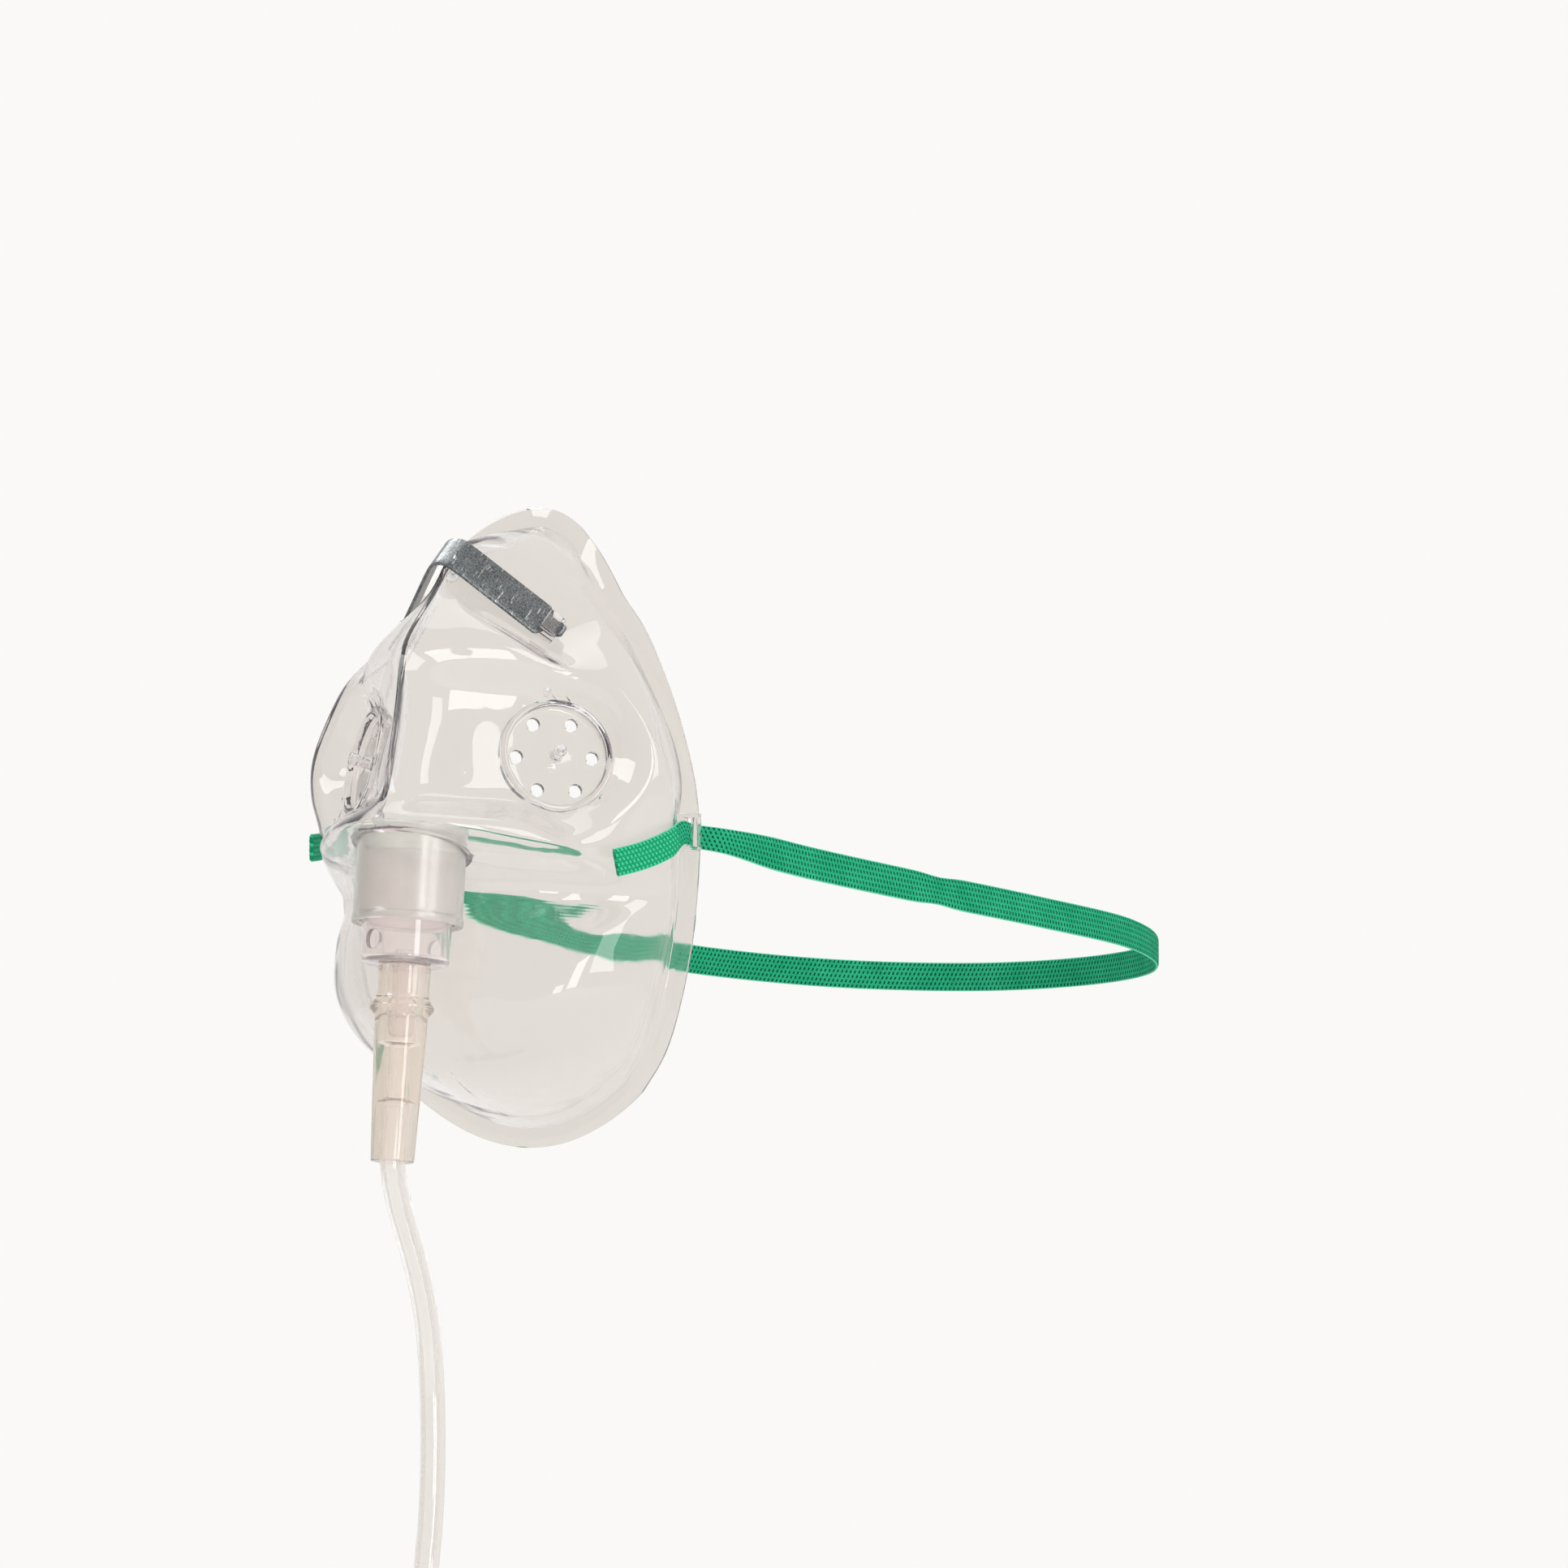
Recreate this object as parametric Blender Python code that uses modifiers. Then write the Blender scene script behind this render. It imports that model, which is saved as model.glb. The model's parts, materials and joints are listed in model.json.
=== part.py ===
import math
from collections import namedtuple

import bmesh
import bpy
from mathutils import Matrix, Vector

# An oxygen face mask with its supply tube. Metres, +Z up. The origin is the middle of the rim that seals on
# the face, +X is the wearer's left, and the nose of the mask points along -Y.

# Facepiece, one thin moulding
FACE_HEIGHT = 0.1366
FACE_WIDTH = 0.0854
FACE_DEPTH = 0.058
WALL = 0.0012
FLANGE_WIDTH = 0.0044
ROWS = 30
COLUMNS = 11

# Exhalation vents, one on each cheek
VENT_DIAMETER = 0.0256
VENT_RING_WIDTH = 0.0015
VENT_RING_DEPTH = 0.0032
VENT_BEAD = 0.0006
VENT_FLOOR = 0.0012
VENT_UP = 0.194
VENT_ACROSS = 0.574
VENT_OUT = 0.448
VENT_FACING = math.radians(45)
VENT_RISE = math.radians(13)
VENT_PAD_MARGIN = 0.0006
VENT_PAD_BLEND = 0.0075
VENT_HOLE_DIAMETER = 0.003
VENT_HOLE_CIRCLE = 0.0174
VENT_HOLES = 6
VENT_PIN_DIAMETER = 0.003
VENT_PIN_LENGTH = 0.0055

# Inlet collar under the nose, and the adapter pressed into it
INLET_TILT = math.radians(6.5)
COLLAR_FOOT = Vector((0.0, -0.0488, -0.0246))
COLLAR_DIAMETER = 0.0243
COLLAR_WALL = 0.0012
COLLAR_LENGTH = 0.0205
LIP_WIDTH = 0.0013
LIP_THICKNESS = 0.0012
LIP_TILT = math.radians(17)
LIP_HEIGHT = 0.0172
FIT_GAP = 0.0003
ADAPTER_INSERT = 0.0155
CUP_DIAMETER = 0.0195
CUP_HEIGHT = 0.0088
CUP_WALL = 0.0011
CUP_ROUND = 0.0012
AIR_HOLE_DIAMETER = 0.0044
AIR_HOLE_DROP = 0.0042
AIR_HOLE_TURN = math.radians(-19)
NIPPLE_DIAMETER = 0.0046
NIPPLE_BORE = 0.0022
NIPPLE_LENGTH = 0.0155
BARB_DIAMETER = 0.0060
BARB_LENGTH = 0.0068

# Soft cuffs on both ends of the tube
CUFF_LENGTH = 0.0425
CUFF_MOUTH_DIAMETER = 0.0116
CUFF_TAIL_DIAMETER = 0.0094
CUFF_RING_DIAMETER = 0.014
CUFF_RING_DROP = 0.0092
CUFF_RING_LENGTH = 0.0016
CUFF_SOCKET = 0.0168
CUFF_NECK_DIAMETER = 0.004
TUBE_INSERT = 0.0127

# Oxygen tube
TUBE_DIAMETER = 0.0055
COIL_TURN_RADIUS = 0.0327
COIL_LAYERS = 4
COIL_COLUMNS = 3
COIL_CENTRE = Vector((-0.014, -0.0400, -0.2145))
TIE_WIDTH = 0.006
TIE_THICKNESS = 0.0011
TIE_TURN = math.radians(112)
SUPPLY_TURN = math.radians(-21)

# Aluminium nose clip
CLIP_WIDTH = 0.0096
CLIP_TIP_WIDTH = 0.0042
CLIP_TIP_STEPS = 2
CLIP_STEPS = 16
CLIP_THICKNESS = 0.0007
CLIP_STATION = 2.08
CLIP_END_STATION = 3.5
CLIP_ALONG = 0.58
CLIP_SEAT = 0.0011
LOOP_LENGTH = 0.0042
LOOP_WIDTH = 0.0066
LOOP_HEIGHT = 0.0028
LOOP_WALL = 0.0009

# Elastic head strap and the lugs that hold it
STRAP_WIDTH = 0.007
STRAP_THICKNESS = 0.001
LUG_HEIGHT = 0.0083
LUG_WIDTH = 0.0052
LUG_DEPTH = 0.0022
LUG_SLOT_WIDTH = 0.0022
LUG_SLOT_MARGIN = 0.0010
LUG_UP = -0.002

# Sections of the facepiece from the bridge of the nose down to the chin. Each is a curve from the ridge at
# X = 0 to the rim. Heights are shares of half FACE_HEIGHT, distances out of the rim plane are shares of
# FACE_DEPTH, and distances across are shares of half FACE_WIDTH.
Section = namedtuple("Section", "ridge_up ridge_out rim_across rim_up rim_out ridge_round wall_rise cheek_swell")
SECTIONS = [
    Section(1.000, -0.13, 0.336, 0.893, -0.034, 0.16, 0.00, 0.00),
    Section(0.944, 0.21, 0.417, 0.839, -0.017, 0.15, 0.04, -0.02),
    Section(0.871, 0.50, 0.532, 0.717, 0.0, 0.11, 0.00, -0.05),
    Section(0.710, 0.665, 0.683, 0.578, 0.0, 0.09, 0.05, 0.02),
    Section(0.520, 0.88, 0.840, 0.350, 0.0, 0.11, 0.30, 0.24),
    Section(0.264, 0.965, 0.942, 0.125, 0.0, 0.12, 0.38, 0.31),
    Section(0.040, 1.020, 0.972, -0.050, 0.0, 0.24, 0.33, 0.19),
    Section(-0.060, 1.045, 0.968, -0.170, 0.0, 0.44, 0.26, 0.10),
    Section(-0.205, 0.59, 0.955, -0.270, 0.0, 0.32, 0.20, 0.07),
    Section(-0.380, 0.62, 0.932, -0.390, 0.0, 0.42, 0.32, 0.12),
    Section(-0.630, 0.64, 0.882, -0.560, 0.01, 0.46, 0.40, 0.14),
    Section(-0.850, 0.43, 0.775, -0.725, -0.02, 0.46, 0.26, 0.08),
    Section(-1.000, -0.12, 0.610, -0.842, -0.08, 0.32, 0.00, 0.00),
]

# The tube from the cuff down to its coil, in the mask's middle plane at first
TUBE_ROUTE = [
    Vector((0.0, -0.0535, -0.0860)),
    Vector((0.0, -0.0488, -0.0950)),
    Vector((0.0, -0.0440, -0.1030)),
    Vector((0.0, -0.0402, -0.1120)),
    Vector((0.0, -0.0386, -0.1220)),
    Vector((0.0, -0.0382, -0.1320)),
    Vector((0.0, -0.0382, -0.1430)),
    Vector((0.0, -0.0388, -0.1530)),
    Vector((0.0, -0.0398, -0.1620)),
    Vector((0.0011, -0.0400, -0.1680)),
    Vector((0.0040, -0.0400, -0.1714)),
]

# The strap as it is worn: a tail on the cheek, out through the lug, round the back of the head and in again
STRAP_ROUND_HEAD = [
    Vector((0.0500, 0.0100, -0.0032)),
    Vector((0.0565, 0.0350, -0.0055)),
    Vector((0.0660, 0.0700, -0.0092)),
    Vector((0.0790, 0.1150, -0.0152)),
    Vector((0.0860, 0.1550, -0.0205)),
    Vector((0.0780, 0.1900, -0.0245)),
    Vector((0.0520, 0.2120, -0.0270)),
    Vector((0.0150, 0.2180, -0.0280)),
    Vector((-0.0240, 0.2040, -0.0265)),
    Vector((-0.0520, 0.1700, -0.0225)),
    Vector((-0.0630, 0.1250, -0.0165)),
    Vector((-0.0630, 0.0800, -0.0105)),
    Vector((-0.0575, 0.0400, -0.0060)),
    Vector((-0.0500, 0.0100, -0.0032)),
]
STRAP_TAIL = [
    Vector((0.0383, -0.0250, -0.0086)),
    Vector((0.0415, -0.0175, -0.0068)),
    Vector((0.0440, -0.0100, -0.0044)),
]

Site = namedtuple("Site", "point across normal along")


def clear_scene():
    for obj in list(bpy.data.objects):
        bpy.data.objects.remove(obj, do_unlink=True)


def new_collection(name, hidden=False):
    collection = bpy.data.collections.new(name)
    collection.hide_render = hidden
    bpy.context.scene.collection.children.link(collection)
    return collection


def make_material(name, colour, roughness, metallic=0.0, transmission=0.0):
    material = bpy.data.materials.new(name)
    material.use_nodes = True
    shader = material.node_tree.nodes["Principled BSDF"]
    shader.inputs["Base Color"].default_value = (*colour, 1.0)
    shader.inputs["Roughness"].default_value = roughness
    shader.inputs["Metallic"].default_value = metallic
    shader.inputs["Transmission Weight"].default_value = transmission
    return material


def add_object(name, bm, collection, material=None, smooth_angle=math.radians(35)):
    mesh = bpy.data.meshes.new(name)
    bm.to_mesh(mesh)
    bm.free()
    mesh.shade_smooth()
    mesh.set_sharp_from_angle(angle=smooth_angle)
    obj = bpy.data.objects.new(name, mesh)
    collection.objects.link(obj)
    if material:
        mesh.materials.append(material)
    else:
        obj.hide_render = True
        obj.display_type = "WIRE"
    return obj


def cylinder(radius, low, high, segments, place):
    bm = bmesh.new()
    middle = Matrix.Translation((0.0, 0.0, (low + high) / 2))
    bmesh.ops.create_cone(
        bm, cap_ends=True, segments=segments, radius1=radius, radius2=radius, depth=high - low, matrix=place @ middle
    )
    return bm


def block(size, place):
    bm = bmesh.new()
    bmesh.ops.create_cube(bm, size=1.0, matrix=place @ Matrix.Diagonal((*size, 1.0)))
    return bm


def turned(name, profile, steps, place, collection, material=None):
    """A closed profile of (radius, height), outer side first and downwards, spun about the place's Z axis."""
    bm = bmesh.new()
    verts = [bm.verts.new((radius, 0.0, height)) for radius, height in profile]
    for first, second in zip(verts, verts[1:] + verts[:1]):
        if profile[verts.index(first)][0] > 0 or profile[verts.index(second)][0] > 0:
            bm.edges.new((first, second))
    obj = add_object(name, bm, collection, material)
    obj.matrix_world = place
    screw = obj.modifiers.new("Turn", "SCREW")
    screw.steps = steps
    screw.render_steps = steps
    screw.use_merge_vertices = True
    screw.merge_threshold = 0.00001
    screw.use_smooth_shade = True
    return obj


def boolean(obj, operation, others):
    for other in others:
        modifier = obj.modifiers.new(f"{operation.title()} {other.name}", "BOOLEAN")
        modifier.operation = operation
        modifier.solver = "EXACT"
        modifier.object = other


def through_points(values, position):
    """The smooth curve through the values, which are tuples or vectors, at a place between whole numbers."""
    index = min(int(position), len(values) - 2)
    share = position - index
    before = values[max(index - 1, 0)]
    after = values[min(index + 2, len(values) - 1)]
    result = []
    for a, b, c, d in zip(before, values[index], values[index + 1], after):
        slope_in = (c - a) / 2
        slope_out = (d - b) / 2
        cubic = 2 * b - 2 * c + slope_in + slope_out
        square = 3 * c - 3 * b - 2 * slope_in - slope_out
        result.append(((cubic * share + square) * share + slope_in) * share + b)
    return result


def face_curve(station, along):
    """The facepiece's outer surface at a station, a share of the way from the ridge to the rim."""
    section = Section(*through_points(SECTIONS, station))
    half_width = FACE_WIDTH / 2
    half_height = FACE_HEIGHT / 2
    rest = 1 - along
    weights = (rest**3, 3 * rest**2 * along, 3 * rest * along**2, along**3)
    across = (0, section.ridge_round, section.rim_across + section.cheek_swell, section.rim_across)
    out = (section.ridge_out, section.ridge_out, section.rim_out + section.wall_rise, section.rim_out)
    x = half_width * sum(w * a for w, a in zip(weights, across))
    y = -FACE_DEPTH * sum(w * o for w, o in zip(weights, out))
    share = x / (half_width * section.rim_across)
    z = half_height * (section.ridge_up + (section.rim_up - section.ridge_up) * share**2)
    return Vector((x, y, z))


def face_site(station, along):
    """A point of the surface with its directions across the face, out of it and down along the ridge."""
    step = 0.02
    point = face_surface(station, along)
    across = face_surface(station, min(along + step, 1)) - face_surface(station, max(along - step, 0))
    down = face_surface(station + step, along) - face_surface(station - step, along)
    normal = down.cross(across).normalized()
    across.normalize()
    return Site(point, across, normal, normal.cross(across))


def vent_site():
    """The middle of the vent's flat pad, at shares of the facepiece's half height, half width and depth."""
    point = Vector((VENT_ACROSS * FACE_WIDTH / 2, -VENT_OUT * FACE_DEPTH, VENT_UP * FACE_HEIGHT / 2))
    level = math.cos(VENT_RISE)
    normal = Vector((level * math.sin(VENT_FACING), -level * math.cos(VENT_FACING), math.sin(VENT_RISE)))
    across = Vector((math.cos(VENT_FACING), math.sin(VENT_FACING), 0.0))
    return Site(point, across, normal, normal.cross(across))


def face_surface(station, along):
    """The outer surface with the flat pad round each vent."""
    point = face_curve(station, along)
    site = vent_site()
    offset = point - site.point
    height = offset.dot(site.normal)
    distance = (offset - height * site.normal).length
    pad_radius = VENT_DIAMETER / 2 + VENT_PAD_MARGIN
    share = min(max((distance - pad_radius) / VENT_PAD_BLEND, 0.0), 1.0)
    blend = share * share * (3 - 2 * share)
    return point - height * (1 - blend) * site.normal


def frame_at(point, x_axis, z_axis):
    y_axis = z_axis.cross(x_axis).normalized()
    x_axis = y_axis.cross(z_axis)
    place = Matrix((x_axis, y_axis, z_axis.normalized())).transposed().to_4x4()
    place.translation = point
    return place


def mirrored(place):
    """The same place on the other cheek, kept right-handed by turning its Y axis round."""
    flip = Matrix.Diagonal((-1.0, 1.0, 1.0, 1.0))
    return flip @ place @ Matrix.Diagonal((1.0, -1.0, 1.0, 1.0))


def both_sides(place):
    return (("left", place), ("right", mirrored(place)))


def add_face_sheet():
    """Half of the facepiece as an open sheet, with its flange turned out round the rim."""
    bm = bmesh.new()
    stations = [row * (len(SECTIONS) - 1) / ROWS for row in range(ROWS + 1)]
    grid = [[bm.verts.new(face_surface(s, c / COLUMNS)) for c in range(COLUMNS + 1)] for s in stations]
    for upper, lower in zip(grid, grid[1:]):
        for c in range(COLUMNS):
            bm.faces.new((upper[c], lower[c], lower[c + 1], upper[c + 1]))
    rim = grid[0][:-1] + [row[-1] for row in grid] + grid[-1][-2::-1]
    edge = []
    for index, vert in enumerate(rim):
        before = rim[max(index - 1, 0)].co
        after = rim[min(index + 1, len(rim) - 1)].co
        run = after - before
        outward = Vector((-run.z, 0.0, run.x)).normalized()
        if vert.co.x < 1e-6:
            outward = Vector((0.0, 0.0, math.copysign(1.0, vert.co.z)))
        edge.append(bm.verts.new(vert.co + FLANGE_WIDTH * outward))
    for index in range(len(rim) - 1):
        bm.faces.new((rim[index], rim[index + 1], edge[index + 1], edge[index]))
    bmesh.ops.recalc_face_normals(bm, faces=bm.faces)
    nose = max(bm.faces, key=lambda face: -face.calc_center_median().y)
    if nose.normal.y > 0:
        bmesh.ops.reverse_faces(bm, faces=bm.faces)
    return bm


def inlet_place(down=0.0):
    """The inlet's axis, +Z upwards along it, measured down from the collar's foot."""
    place = Matrix.Translation(COLLAR_FOOT) @ Matrix.Rotation(-INLET_TILT, 4, "X")
    return place @ Matrix.Translation((0.0, 0.0, -down))


def add_vents(cutters):
    """The dishes that are joined to the cheeks, and what is cut for them."""
    seats = []
    dishes = []
    holes = []
    site = vent_site()
    place = frame_at(site.point, site.across, site.normal)
    radius = VENT_DIAMETER / 2
    inner = radius - VENT_RING_WIDTH
    floor_top = -VENT_RING_DEPTH + VENT_FLOOR
    profile = [
        (VENT_PIN_DIAMETER / 2, floor_top + VENT_PIN_LENGTH),
        (VENT_PIN_DIAMETER / 2, floor_top),
        (inner, floor_top),
        (inner, VENT_BEAD * 0.4),
        (inner + VENT_RING_WIDTH * 0.3, VENT_BEAD),
        (inner + VENT_RING_WIDTH * 0.7, VENT_BEAD),
        (radius, VENT_BEAD * 0.4),
        (radius, -VENT_RING_DEPTH),
        (0.0, -VENT_RING_DEPTH),
        (0.0, floor_top + VENT_PIN_LENGTH),
    ]
    for side, spot in both_sides(place):
        seat = cylinder(radius - VENT_RING_WIDTH / 2, -0.009, 0.009, 32, spot)
        seats.append(add_object(f"vent_seat_{side}", seat, cutters))
        dishes.append(turned(f"vent_dish_{side}", profile, 32, spot, cutters))
        for number in range(VENT_HOLES):
            turn = Matrix.Rotation(math.tau * number / VENT_HOLES, 4, "Z")
            shift = Matrix.Translation((VENT_HOLE_CIRCLE / 2, 0.0, 0.0))
            hole = cylinder(VENT_HOLE_DIAMETER / 2, -0.006, 0.003, 10, spot @ turn @ shift)
            holes.append(add_object(f"vent_hole_{side}_{number + 1}", hole, cutters))
    return seats, dishes, holes


def add_collar(cutters):
    """The inlet collar with the lip where it meets the facepiece, and the bore through both."""
    outer = COLLAR_DIAMETER / 2
    tube = cylinder(outer, 0.0, COLLAR_LENGTH, 40, inlet_place())
    lip_place = inlet_place(-LIP_HEIGHT) @ Matrix.Rotation(-(LIP_TILT - INLET_TILT), 4, "X")
    lip = cylinder(outer + LIP_WIDTH, -LIP_THICKNESS / 2, LIP_THICKNESS / 2, 40, lip_place)
    bore = cylinder(outer - COLLAR_WALL, -0.002, COLLAR_LENGTH + 0.001, 40, inlet_place())
    joined = [add_object("collar_tube", tube, cutters), add_object("collar_lip", lip, cutters)]
    return joined, [add_object("collar_bore", bore, cutters)]


def lug_centre():
    rim = face_surface(6.25, 1.0)
    return Vector((rim.x + LUG_WIDTH / 2 - 0.0002, rim.y - LUG_DEPTH / 2 + WALL / 2, LUG_UP))


def add_lugs(cutters):
    """The slotted lug on each side of the rim, which the strap comes up through."""
    joined = []
    slots = []
    centre = lug_centre()
    slot_height = LUG_HEIGHT - 2 * LUG_SLOT_MARGIN
    for side, place in both_sides(Matrix.Translation(centre)):
        lug = block((LUG_WIDTH, LUG_DEPTH, LUG_HEIGHT), place)
        slot = block((LUG_SLOT_WIDTH, LUG_DEPTH + 0.006, slot_height), place)
        joined.append(add_object(f"lug_{side}", lug, cutters))
        slots.append(add_object(f"lug_slot_{side}", slot, cutters))
    return joined, slots


def clip_site(share):
    """A site under the nose clip's middle line, at a share of one leg's length."""
    station = CLIP_STATION + (CLIP_END_STATION - CLIP_STATION) * share
    return face_site(station, CLIP_ALONG * share)


def clip_path():
    """Places along the clip's middle line on the left leg, with X along the leg and Z out of the face."""
    sites = [clip_site(step / CLIP_STEPS) for step in range(CLIP_STEPS + 1)]
    lift = CLIP_SEAT + CLIP_THICKNESS / 2
    points = [site.point + lift * site.normal for site in sites]
    points[0].x = 0.0
    places = []
    for index, site in enumerate(sites):
        run = points[min(index + 1, CLIP_STEPS)] - points[max(index - 1, 0)]
        normal = site.normal
        if index == 0:
            run = Vector((1.0, 0.0, 0.0))
            normal = Vector((0.0, normal.y, normal.z))
        places.append(frame_at(points[index], run.normalized(), normal))
    return places


def add_clip_loops(cutters):
    """The small moulded loop over each end of the nose clip."""
    joined = []
    slots = []
    end = clip_path()[-1] @ Matrix.Translation((-LOOP_LENGTH * 0.2, 0.0, 0.0))
    base = -(CLIP_SEAT + CLIP_THICKNESS / 2 + WALL * 0.6)
    for side, place in both_sides(end):
        middle = (base + LOOP_HEIGHT - 0.0010) / 2
        loop = block((LOOP_LENGTH, LOOP_WIDTH, LOOP_HEIGHT - 0.0010 - base), place @ Matrix.Translation((0, 0, middle)))
        slot_height = CLIP_THICKNESS + 2 * FIT_GAP
        slot = block((LOOP_LENGTH + 0.004, LOOP_WIDTH - 2 * LOOP_WALL, slot_height), place)
        joined.append(add_object(f"clip_loop_{side}", loop, cutters))
        slots.append(add_object(f"clip_loop_slot_{side}", slot, cutters))
    return joined, slots


def add_mask_shell(parts, cutters, material):
    shell = add_object("mask_shell", add_face_sheet(), parts, material)
    mirror = shell.modifiers.new("Other half", "MIRROR")
    mirror.merge_threshold = 0.00001
    thickness = shell.modifiers.new("Wall", "SOLIDIFY")
    thickness.thickness = WALL
    thickness.offset = -1.0
    thickness.use_even_offset = True
    seats, dishes, holes = add_vents(cutters)
    collar, bore = add_collar(cutters)
    lugs, lug_slots = add_lugs(cutters)
    loops, loop_slots = add_clip_loops(cutters)
    boolean(shell, "DIFFERENCE", seats)
    boolean(shell, "UNION", dishes + collar + lugs + loops)
    boolean(shell, "DIFFERENCE", bore + holes + lug_slots + loop_slots)
    return shell


def add_nose_clip(parts, material):
    """A bent aluminium strip, narrowed at both tips where the loops hold it."""
    bm = bmesh.new()
    left = clip_path()
    path = [mirrored(place) @ Matrix.Rotation(math.pi, 4, "Z") for place in reversed(left[1:])] + left
    rows = []
    for index, place in enumerate(path):
        near_tip = min(index, len(path) - 1 - index)
        share = min(max(near_tip - CLIP_TIP_STEPS, 0), 1.0)
        width = CLIP_TIP_WIDTH + (CLIP_WIDTH - CLIP_TIP_WIDTH) * math.sin(share * math.pi / 2)
        rows.append([bm.verts.new(place @ Vector((0.0, side * width / 2, 0.0))) for side in (-1, 0, 1)])
    for first, second in zip(rows, rows[1:]):
        for c in range(2):
            bm.faces.new((first[c], second[c], second[c + 1], first[c + 1]))
    clip = add_object("nose_clip", bm, parts, material)
    thickness = clip.modifiers.new("Gauge", "SOLIDIFY")
    thickness.thickness = CLIP_THICKNESS
    thickness.offset = 0.0
    return clip


def add_inlet_adapter(parts, cutters, material):
    """The clear cup pressed up into the collar, with its air holes and the nipple for the cuff."""
    plug = COLLAR_DIAMETER / 2 - COLLAR_WALL - FIT_GAP
    cup = CUP_DIAMETER / 2
    inner = cup - CUP_WALL
    nipple = NIPPLE_DIAMETER / 2
    barb = BARB_DIAMETER / 2
    foot = -CUP_HEIGHT
    tip = foot - NIPPLE_LENGTH
    profile = [
        (plug, ADAPTER_INSERT),
        (plug, FIT_GAP * 2),
        (cup, FIT_GAP * 2),
        (cup, foot + CUP_ROUND),
        (cup - CUP_ROUND * 0.3, foot + CUP_ROUND * 0.3),
        (cup - CUP_ROUND, foot),
        (nipple, foot),
        (nipple, tip + BARB_LENGTH),
        (barb, tip + BARB_LENGTH * 0.9),
        (barb, tip + BARB_LENGTH * 0.2),
        (nipple, tip),
        (NIPPLE_BORE / 2, tip),
        (NIPPLE_BORE / 2, foot + CUP_WALL * 3),
        (nipple, foot + CUP_WALL * 3),
        (nipple, foot + CUP_WALL),
        (inner, foot + CUP_WALL),
        (inner, FIT_GAP * 2 + CUP_WALL),
        (plug - CUP_WALL, FIT_GAP * 2 + CUP_WALL),
        (plug - CUP_WALL, ADAPTER_INSERT),
    ]
    adapter = turned("inlet_adapter", profile, 36, inlet_place(), parts, material)
    holes = []
    for number in range(2):
        turn = Matrix.Rotation(AIR_HOLE_TURN + math.pi * number, 4, "Z")
        aim = Matrix.Rotation(math.pi / 2, 4, "X")
        place = inlet_place(AIR_HOLE_DROP) @ turn @ aim
        hole = cylinder(AIR_HOLE_DIAMETER / 2, cup - 0.004, cup + 0.003, 16, place)
        holes.append(add_object(f"air_hole_{number + 1}", hole, cutters))
    boolean(adapter, "DIFFERENCE", holes)
    return adapter


def add_cuff(name, place, parts, material):
    """A soft cuff, mouth at the place's origin and tail down its -Z axis, with its bores."""
    mouth = CUFF_MOUTH_DIAMETER / 2
    tail = CUFF_TAIL_DIAMETER / 2
    ring = CUFF_RING_DIAMETER / 2
    socket = BARB_DIAMETER / 2 + FIT_GAP
    seat = TUBE_DIAMETER / 2 + FIT_GAP
    neck = CUFF_NECK_DIAMETER / 2
    tube_end = -(CUFF_LENGTH - TUBE_INSERT)
    profile = [
        (mouth, 0.0),
        (mouth, -CUFF_RING_DROP + CUFF_RING_LENGTH * 0.8),
        (ring, -CUFF_RING_DROP),
        (mouth, -CUFF_RING_DROP - CUFF_RING_LENGTH),
        (tail, -CUFF_LENGTH),
        (seat, -CUFF_LENGTH),
        (seat, tube_end + FIT_GAP),
        (neck, tube_end + FIT_GAP),
        (neck, -CUFF_SOCKET),
        (socket, -CUFF_SOCKET),
        (socket, 0.0),
    ]
    return turned(name, profile, 28, place, parts, material)


def curve_object(name, points, diameter, sides, parts, material):
    curve = bpy.data.curves.new(name, "CURVE")
    curve.dimensions = "3D"
    curve.bevel_depth = diameter / 2
    curve.bevel_resolution = sides
    curve.use_fill_caps = True
    spline = curve.splines.new("POLY")
    spline.points.add(len(points) - 1)
    for spot, point in zip(spline.points, points):
        spot.co = (*point, 1.0)
    spline.use_smooth = True
    obj = bpy.data.objects.new(name, curve)
    curve.materials.append(material)
    parts.objects.link(obj)
    return obj


def cuff_place():
    return inlet_place(CUP_HEIGHT + FIT_GAP)


def add_oxygen_tube(parts, material):
    """The tube from inside its cuff to where it joins the coil, smoothed through its route."""
    start = cuff_place() @ Vector((0.0, 0.0, -(CUFF_LENGTH - TUBE_INSERT)))
    leaving = cuff_place() @ Vector((0.0, 0.0, -CUFF_LENGTH))
    route = [start, leaving] + TUBE_ROUTE
    steps = 3
    count = (len(route) - 1) * steps
    points = [Vector(through_points(route, index / steps)) for index in range(count + 1)]
    return curve_object("oxygen_tube", points, TUBE_DIAMETER, 2, parts, material)


def coil_half_sizes():
    """Half of the coil's depth from inner to outer turns, and half of its width over the columns of turns."""
    return COIL_LAYERS * TUBE_DIAMETER / 2, COIL_COLUMNS * TUBE_DIAMETER / 2


def add_tube_coil(parts, material):
    """The outer shape of the wound tube, a ring hanging in an upright plane."""
    depth, width = coil_half_sizes()
    corner = TUBE_DIAMETER / 2
    inner = COIL_TURN_RADIUS - depth
    outer = COIL_TURN_RADIUS + depth
    profile = [
        (outer - corner, width),
        (outer - corner * 0.3, width - corner * 0.3),
        (outer, width - corner),
        (outer, -width + corner),
        (outer - corner * 0.3, -width + corner * 0.3),
        (outer - corner, -width),
        (inner + corner, -width),
        (inner, -width + corner),
        (inner, width - corner),
        (inner + corner, width),
    ]
    place = Matrix.Translation(COIL_CENTRE) @ Matrix.Rotation(math.pi / 2, 4, "X")
    return turned("tube_coil", profile, 40, place, parts, material)


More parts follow.
